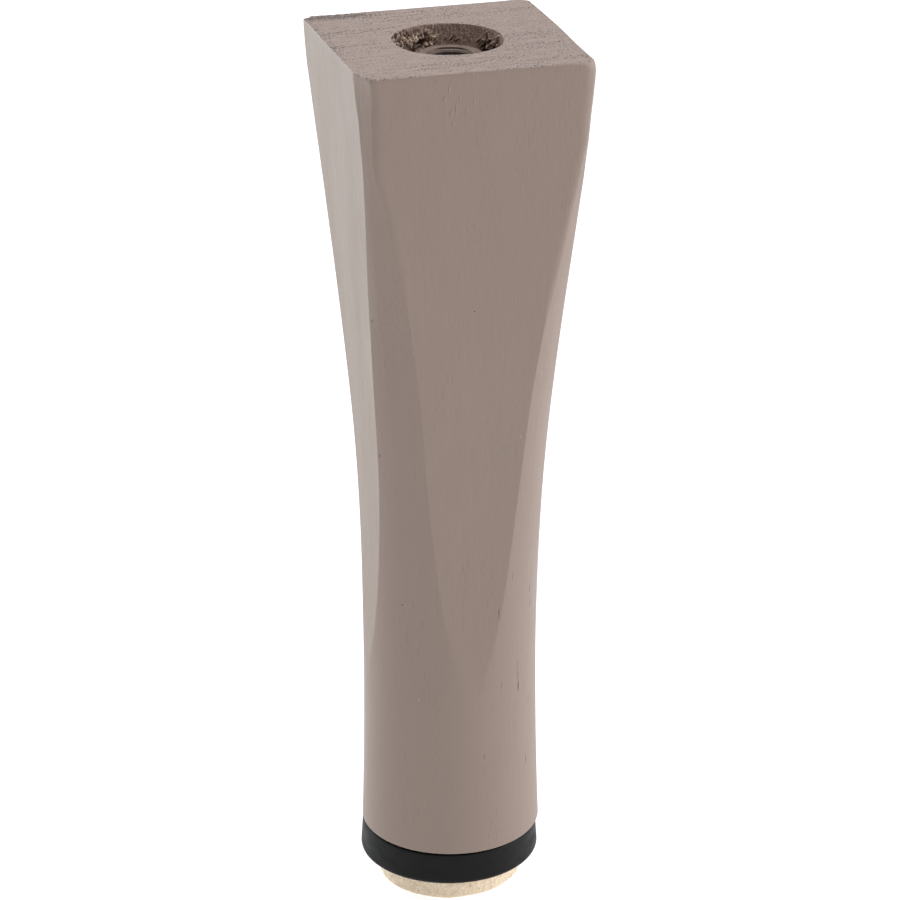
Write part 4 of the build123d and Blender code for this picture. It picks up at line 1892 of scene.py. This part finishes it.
@dataclass(frozen=True)
class FeltDisc:
    """Felt under the glide: cut by hand, so its edge is ragged, with loose hairs round it."""

    offset: float = -0.3 * MM
    radius: float = 14.3 * MM
    top_level: float = 6.2 * MM
    shoulder_level: float = 5.0 * MM
    lower_edge: float = 0.45 * MM
    raggedness: float = 0.13 * MM
    columns: int = 420
    side_rings: int = 22
    hairs: int = 520

    def outline(self, angles: np.ndarray, level: np.ndarray) -> np.ndarray:
        """Radius of the ragged edge: the plain radius less relief at three scales.

        The part let into the recess stays plain, and the relief is strongest near the floor.

        Args:
            angles: Angles round the axis.
            level: Heights.

        Returns:
            Radii.
        """
        around = angles / FULL_TURN
        up = level / (9.0 * MM)
        broad = relief(around, up, (13, 2), 61)
        tufts = relief(around, up, (80, 7), 62)
        fine = relief(around, up, (210, 17), 63)
        free = ease(level, self.shoulder_level + 0.6 * MM, self.shoulder_level - 0.6 * MM)
        ragged = 1.3 + 1.6 * broad + 0.8 * tufts + 0.4 * fine
        return self.radius - 0.02 * MM - self.raggedness * free * np.clip(ragged, 0.0, None)

    def build(self) -> bpy.types.Object:
        """Build the felt with its hairs.

        The side goes round a rounded lower edge: level and inset follow a quarter circle there.

        Returns:
            The piece.
        """
        angles = np.linspace(0.0, FULL_TURN, self.columns, endpoint=False)
        turns = np.linspace(0.0, math.pi / 2.0, 8)
        levels = np.concatenate(
            [
                self.lower_edge * (1.0 - np.cos(turns)),
                np.linspace(self.lower_edge, self.top_level, self.side_rings)[1:],
            ]
        )
        insets = np.concatenate([self.lower_edge * (1.0 - np.sin(turns)), np.zeros(self.side_rings - 1)])
        level_grid, angle_grid = np.meshgrid(levels, angles, indexing="ij")
        radii = self.outline(angle_grid, level_grid) - insets[:, None]
        side = ring(radii, angle_grid, level_grid, self.offset)
        shares = np.array([0.10, 0.3, 0.5, 0.7, 0.85, 0.95])
        under = np.stack([ring(radii[0] * share, angles, 0.0, self.offset) for share in shares])
        cover = np.stack(
            [ring(radii[-1] * share, angles, self.top_level, self.offset) for share in shares[::-1]]
        )
        shell = Shell()
        shell.add(
            np.concatenate([under, side, cover]),
            (np.array([self.offset, 0.0, 0.0]), np.array([self.offset, 0.0, self.top_level])),
        )
        self.add_hairs(shell)
        return shell.piece("cream_felt_disc")

    def add_hairs(self, shell: Shell) -> None:
        """Add loose wool hairs round the free edge.

        A hair's middle line is root + t run + t^2 curl, t from 0 to 1, kept above the floor, with a
        three-sided section that narrows as 1 - t / 2.

        Args:
            shell: Shell to add them to.
        """
        random = np.random.default_rng(64)
        angles = random.uniform(0.0, FULL_TURN, self.hairs)
        levels = random.uniform(0.15 * MM, self.shoulder_level - 0.2 * MM, self.hairs)
        below_edge = 1.0 - np.clip(levels / self.lower_edge, 0.0, 1.0)
        inset = self.lower_edge * (1.0 - np.sqrt(1.0 - below_edge**2))
        radii = self.outline(angles, levels) - inset
        along = np.linspace(0.0, 1.0, 5)[:, None]
        section = np.linspace(0.0, FULL_TURN, 3, endpoint=False)[None, :]
        for angle, level, radius in zip(angles, levels, radii):
            outwards = np.array([math.cos(angle), math.sin(angle), 0.0])
            sideways = np.array([-math.sin(angle), math.cos(angle), 0.0])
            up = np.array([0.0, 0.0, 1.0])
            length = random.uniform(0.35, 1.1) * MM
            run = random.uniform(-1.0, 1.0) * sideways + random.uniform(0.0, 0.35) * outwards
            run = length * (run + random.normal(0.0, 0.4) * up)
            curl = random.normal(0.0, 0.35) * sideways - 0.25 * outwards
            curl = length * (curl + random.normal(0.0, 0.25) * up)
            root = np.array([self.offset, 0.0, level]) + (radius - 0.06 * MM) * outwards
            middle = root + along * run + along**2 * curl
            middle[:, 2] = np.clip(middle[:, 2], 0.05 * MM, self.shoulder_level + 0.1 * MM)
            size = random.uniform(0.016, 0.030) * MM * (1.0 - 0.5 * along)
            direction = run / np.linalg.norm(run)
            across = np.cross(direction, up + 0.3 * outwards)
            across = across / np.linalg.norm(across)
            normal = np.cross(across, direction)
            hair = (
                middle[:, None, :]
                + (size * np.cos(section))[..., None] * across
                + (size * np.sin(section))[..., None] * normal
            )
            shell.add(hair, (middle[0], middle[-1]))

    def dress(self, piece: bpy.types.Object) -> None:
        """Give the felt its wool."""
        piece.data.materials.append(WoolFelt().material())
        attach(piece, "root")
        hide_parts("felt_disc")


@dataclass(frozen=True)
class GlideScrew:
    """Screw inside the glide and the foot. Its solid stays, with a better finish."""

    node: str = "glide_screw"

    def dress(self, frame: dict) -> bpy.types.Object:
        """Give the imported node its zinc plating.

        Args:
            frame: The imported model.

        Returns:
            The node's object.
        """
        screw = frame["nodes"][self.node]
        zinc = ZincSteel().material()
        for slot in screw.material_slots:
            slot.material = zinc
        return screw


@dataclass(frozen=True)
class SoftLight:
    """Soft box: where it stands, what it aims at, its width and height, its power in watts and tint."""

    name: str
    place: tuple[float, float, float]
    aim: tuple[float, float, float]
    size: tuple[float, float]
    power: float
    tint: tuple[float, float, float] = (1.0, 1.0, 1.0)

    def put(self) -> None:
        """Put the light into the scene."""
        lamp = bpy.data.lights.new(self.name, "AREA")
        lamp.shape = "RECTANGLE"
        lamp.size, lamp.size_y = self.size
        lamp.energy = self.power
        lamp.color = self.tint
        light = bpy.data.objects.new(self.name, lamp)
        light.location = self.place
        direction = Vector(self.aim) - Vector(self.place)
        light.rotation_euler = direction.to_track_quat("-Z", "Y").to_euler()
        bpy.context.scene.collection.objects.link(light)


@dataclass(frozen=True)
class Studio:
    """Pale floor, soft light and the camera at the photograph's angle."""

    floor_radius: float = 3.0
    surround: float = 0.365
    camera_place: tuple[float, float, float] = (-0.16754, -0.59051, 0.34918)
    camera_yaw: float = 15.863
    camera_pitch: float = 22.731
    camera_roll: float = -0.235
    focal_length: float = 136.49
    sensor_width: float = 36.0
    lights: tuple[SoftLight, ...] = (
        SoftLight("top_soft_box", (0.0, 0.0, 1.5), (0.0, 0.0, 0.1), (1.0, 1.0), 17.6, (0.96, 0.98, 1.0)),
        SoftLight("window", (-0.580, 1.004, 0.401), (0.0, 0.0, 0.09), (0.8, 0.8), 10.8, (0.89, 0.99, 1.0)),
        SoftLight(
            "warm_soft_box", (1.120, -0.300, 0.401), (0.0, 0.0, 0.09), (0.8, 0.8), 9.2, (1.0, 0.977, 0.967)
        ),
    )

    def floor(self) -> bpy.types.Object:
        """Lay the floor: a flat disc of rings round a middle point.

        Returns:
            The floor.
        """
        angles = np.linspace(0.0, FULL_TURN, 96, endpoint=False)
        radii = np.linspace(0.0, self.floor_radius, 9)[1:]
        rings = np.stack([ring(radius, angles, 0.0) for radius in radii])
        points = np.concatenate([rings.reshape(-1, 3), [[0.0, 0.0, 0.0]]])
        index = np.arange(rings.shape[0] * angles.size).reshape(rings.shape[0], angles.size)
        following = np.roll(index, -1, axis=1)
        quads = np.stack([index[:-1], index[1:], following[1:], following[:-1]], axis=-1).reshape(-1, 4)
        fan = np.stack([np.full(angles.size, len(points) - 1), index[0], following[0]], axis=-1)
        mesh = bpy.data.meshes.new("studio_floor")
        mesh.from_pydata(points.tolist(), [], quads.tolist() + fan.tolist())
        mesh.materials.append(StudioPaper().material())
        paper = bpy.data.objects.new("studio_floor", mesh)
        bpy.context.scene.collection.objects.link(paper)
        return paper

    def camera(self) -> bpy.types.Object:
        """Set the camera up.

        It looks along (sin yaw cos pitch, cos yaw cos pitch, -sin pitch), and rolls about that line.

        Returns:
            The camera.
        """
        yaw = math.radians(self.camera_yaw)
        pitch = math.radians(self.camera_pitch)
        roll = math.radians(self.camera_roll)
        flat = math.cos(pitch)
        forward = Vector((math.sin(yaw) * flat, math.cos(yaw) * flat, -math.sin(pitch)))
        level = forward.cross(Vector((0.0, 0.0, 1.0))).normalized()
        upright = level.cross(forward)
        right = math.cos(roll) * level + math.sin(roll) * upright
        up = math.cos(roll) * upright - math.sin(roll) * level
        turned = Matrix((right, up, -forward)).transposed().to_4x4()
        lens = bpy.data.cameras.new("photo_camera")
        lens.sensor_width = self.sensor_width
        lens.lens = self.focal_length
        lens.clip_start = 0.01
        lens.clip_end = 50.0
        camera = bpy.data.objects.new("photo_camera", lens)
        camera.matrix_world = Matrix.Translation(self.camera_place) @ turned
        bpy.context.scene.collection.objects.link(camera)
        bpy.context.scene.camera = camera
        return camera

    def surroundings(self) -> None:
        """Make the room an even white, and show colours as they are."""
        world = bpy.data.worlds.new("studio_room")
        world.use_nodes = True
        background = world.node_tree.nodes["Background"]
        background.inputs["Color"].default_value = (1.0, 1.0, 1.0, 1.0)
        background.inputs["Strength"].default_value = self.surround
        scene = bpy.context.scene
        scene.world = world
        scene.view_settings.view_transform = "Standard"
        scene.view_settings.look = "None"

    def build(self) -> None:
        """Set up the whole studio."""
        self.floor()
        self.surroundings()
        for light in self.lights:
            light.put()
        self.camera()


def main() -> None:
    """Load the frame, build and dress each piece, and set up the studio."""
    logging.basicConfig(level=logging.INFO, format="%(name)s: %(message)s")
    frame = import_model()
    for part in (PaintedLeg(), ThreadedInsert(), FloorGlide(), FeltDisc()):
        piece = part.build()
        part.dress(piece)
        LOG.info("%s: %d faces", piece.name, len(piece.data.polygons))
    screw = GlideScrew().dress(frame)
    LOG.info("%s: finish only", screw.name)
    Studio().build()


if __name__ == "__main__":
    main()
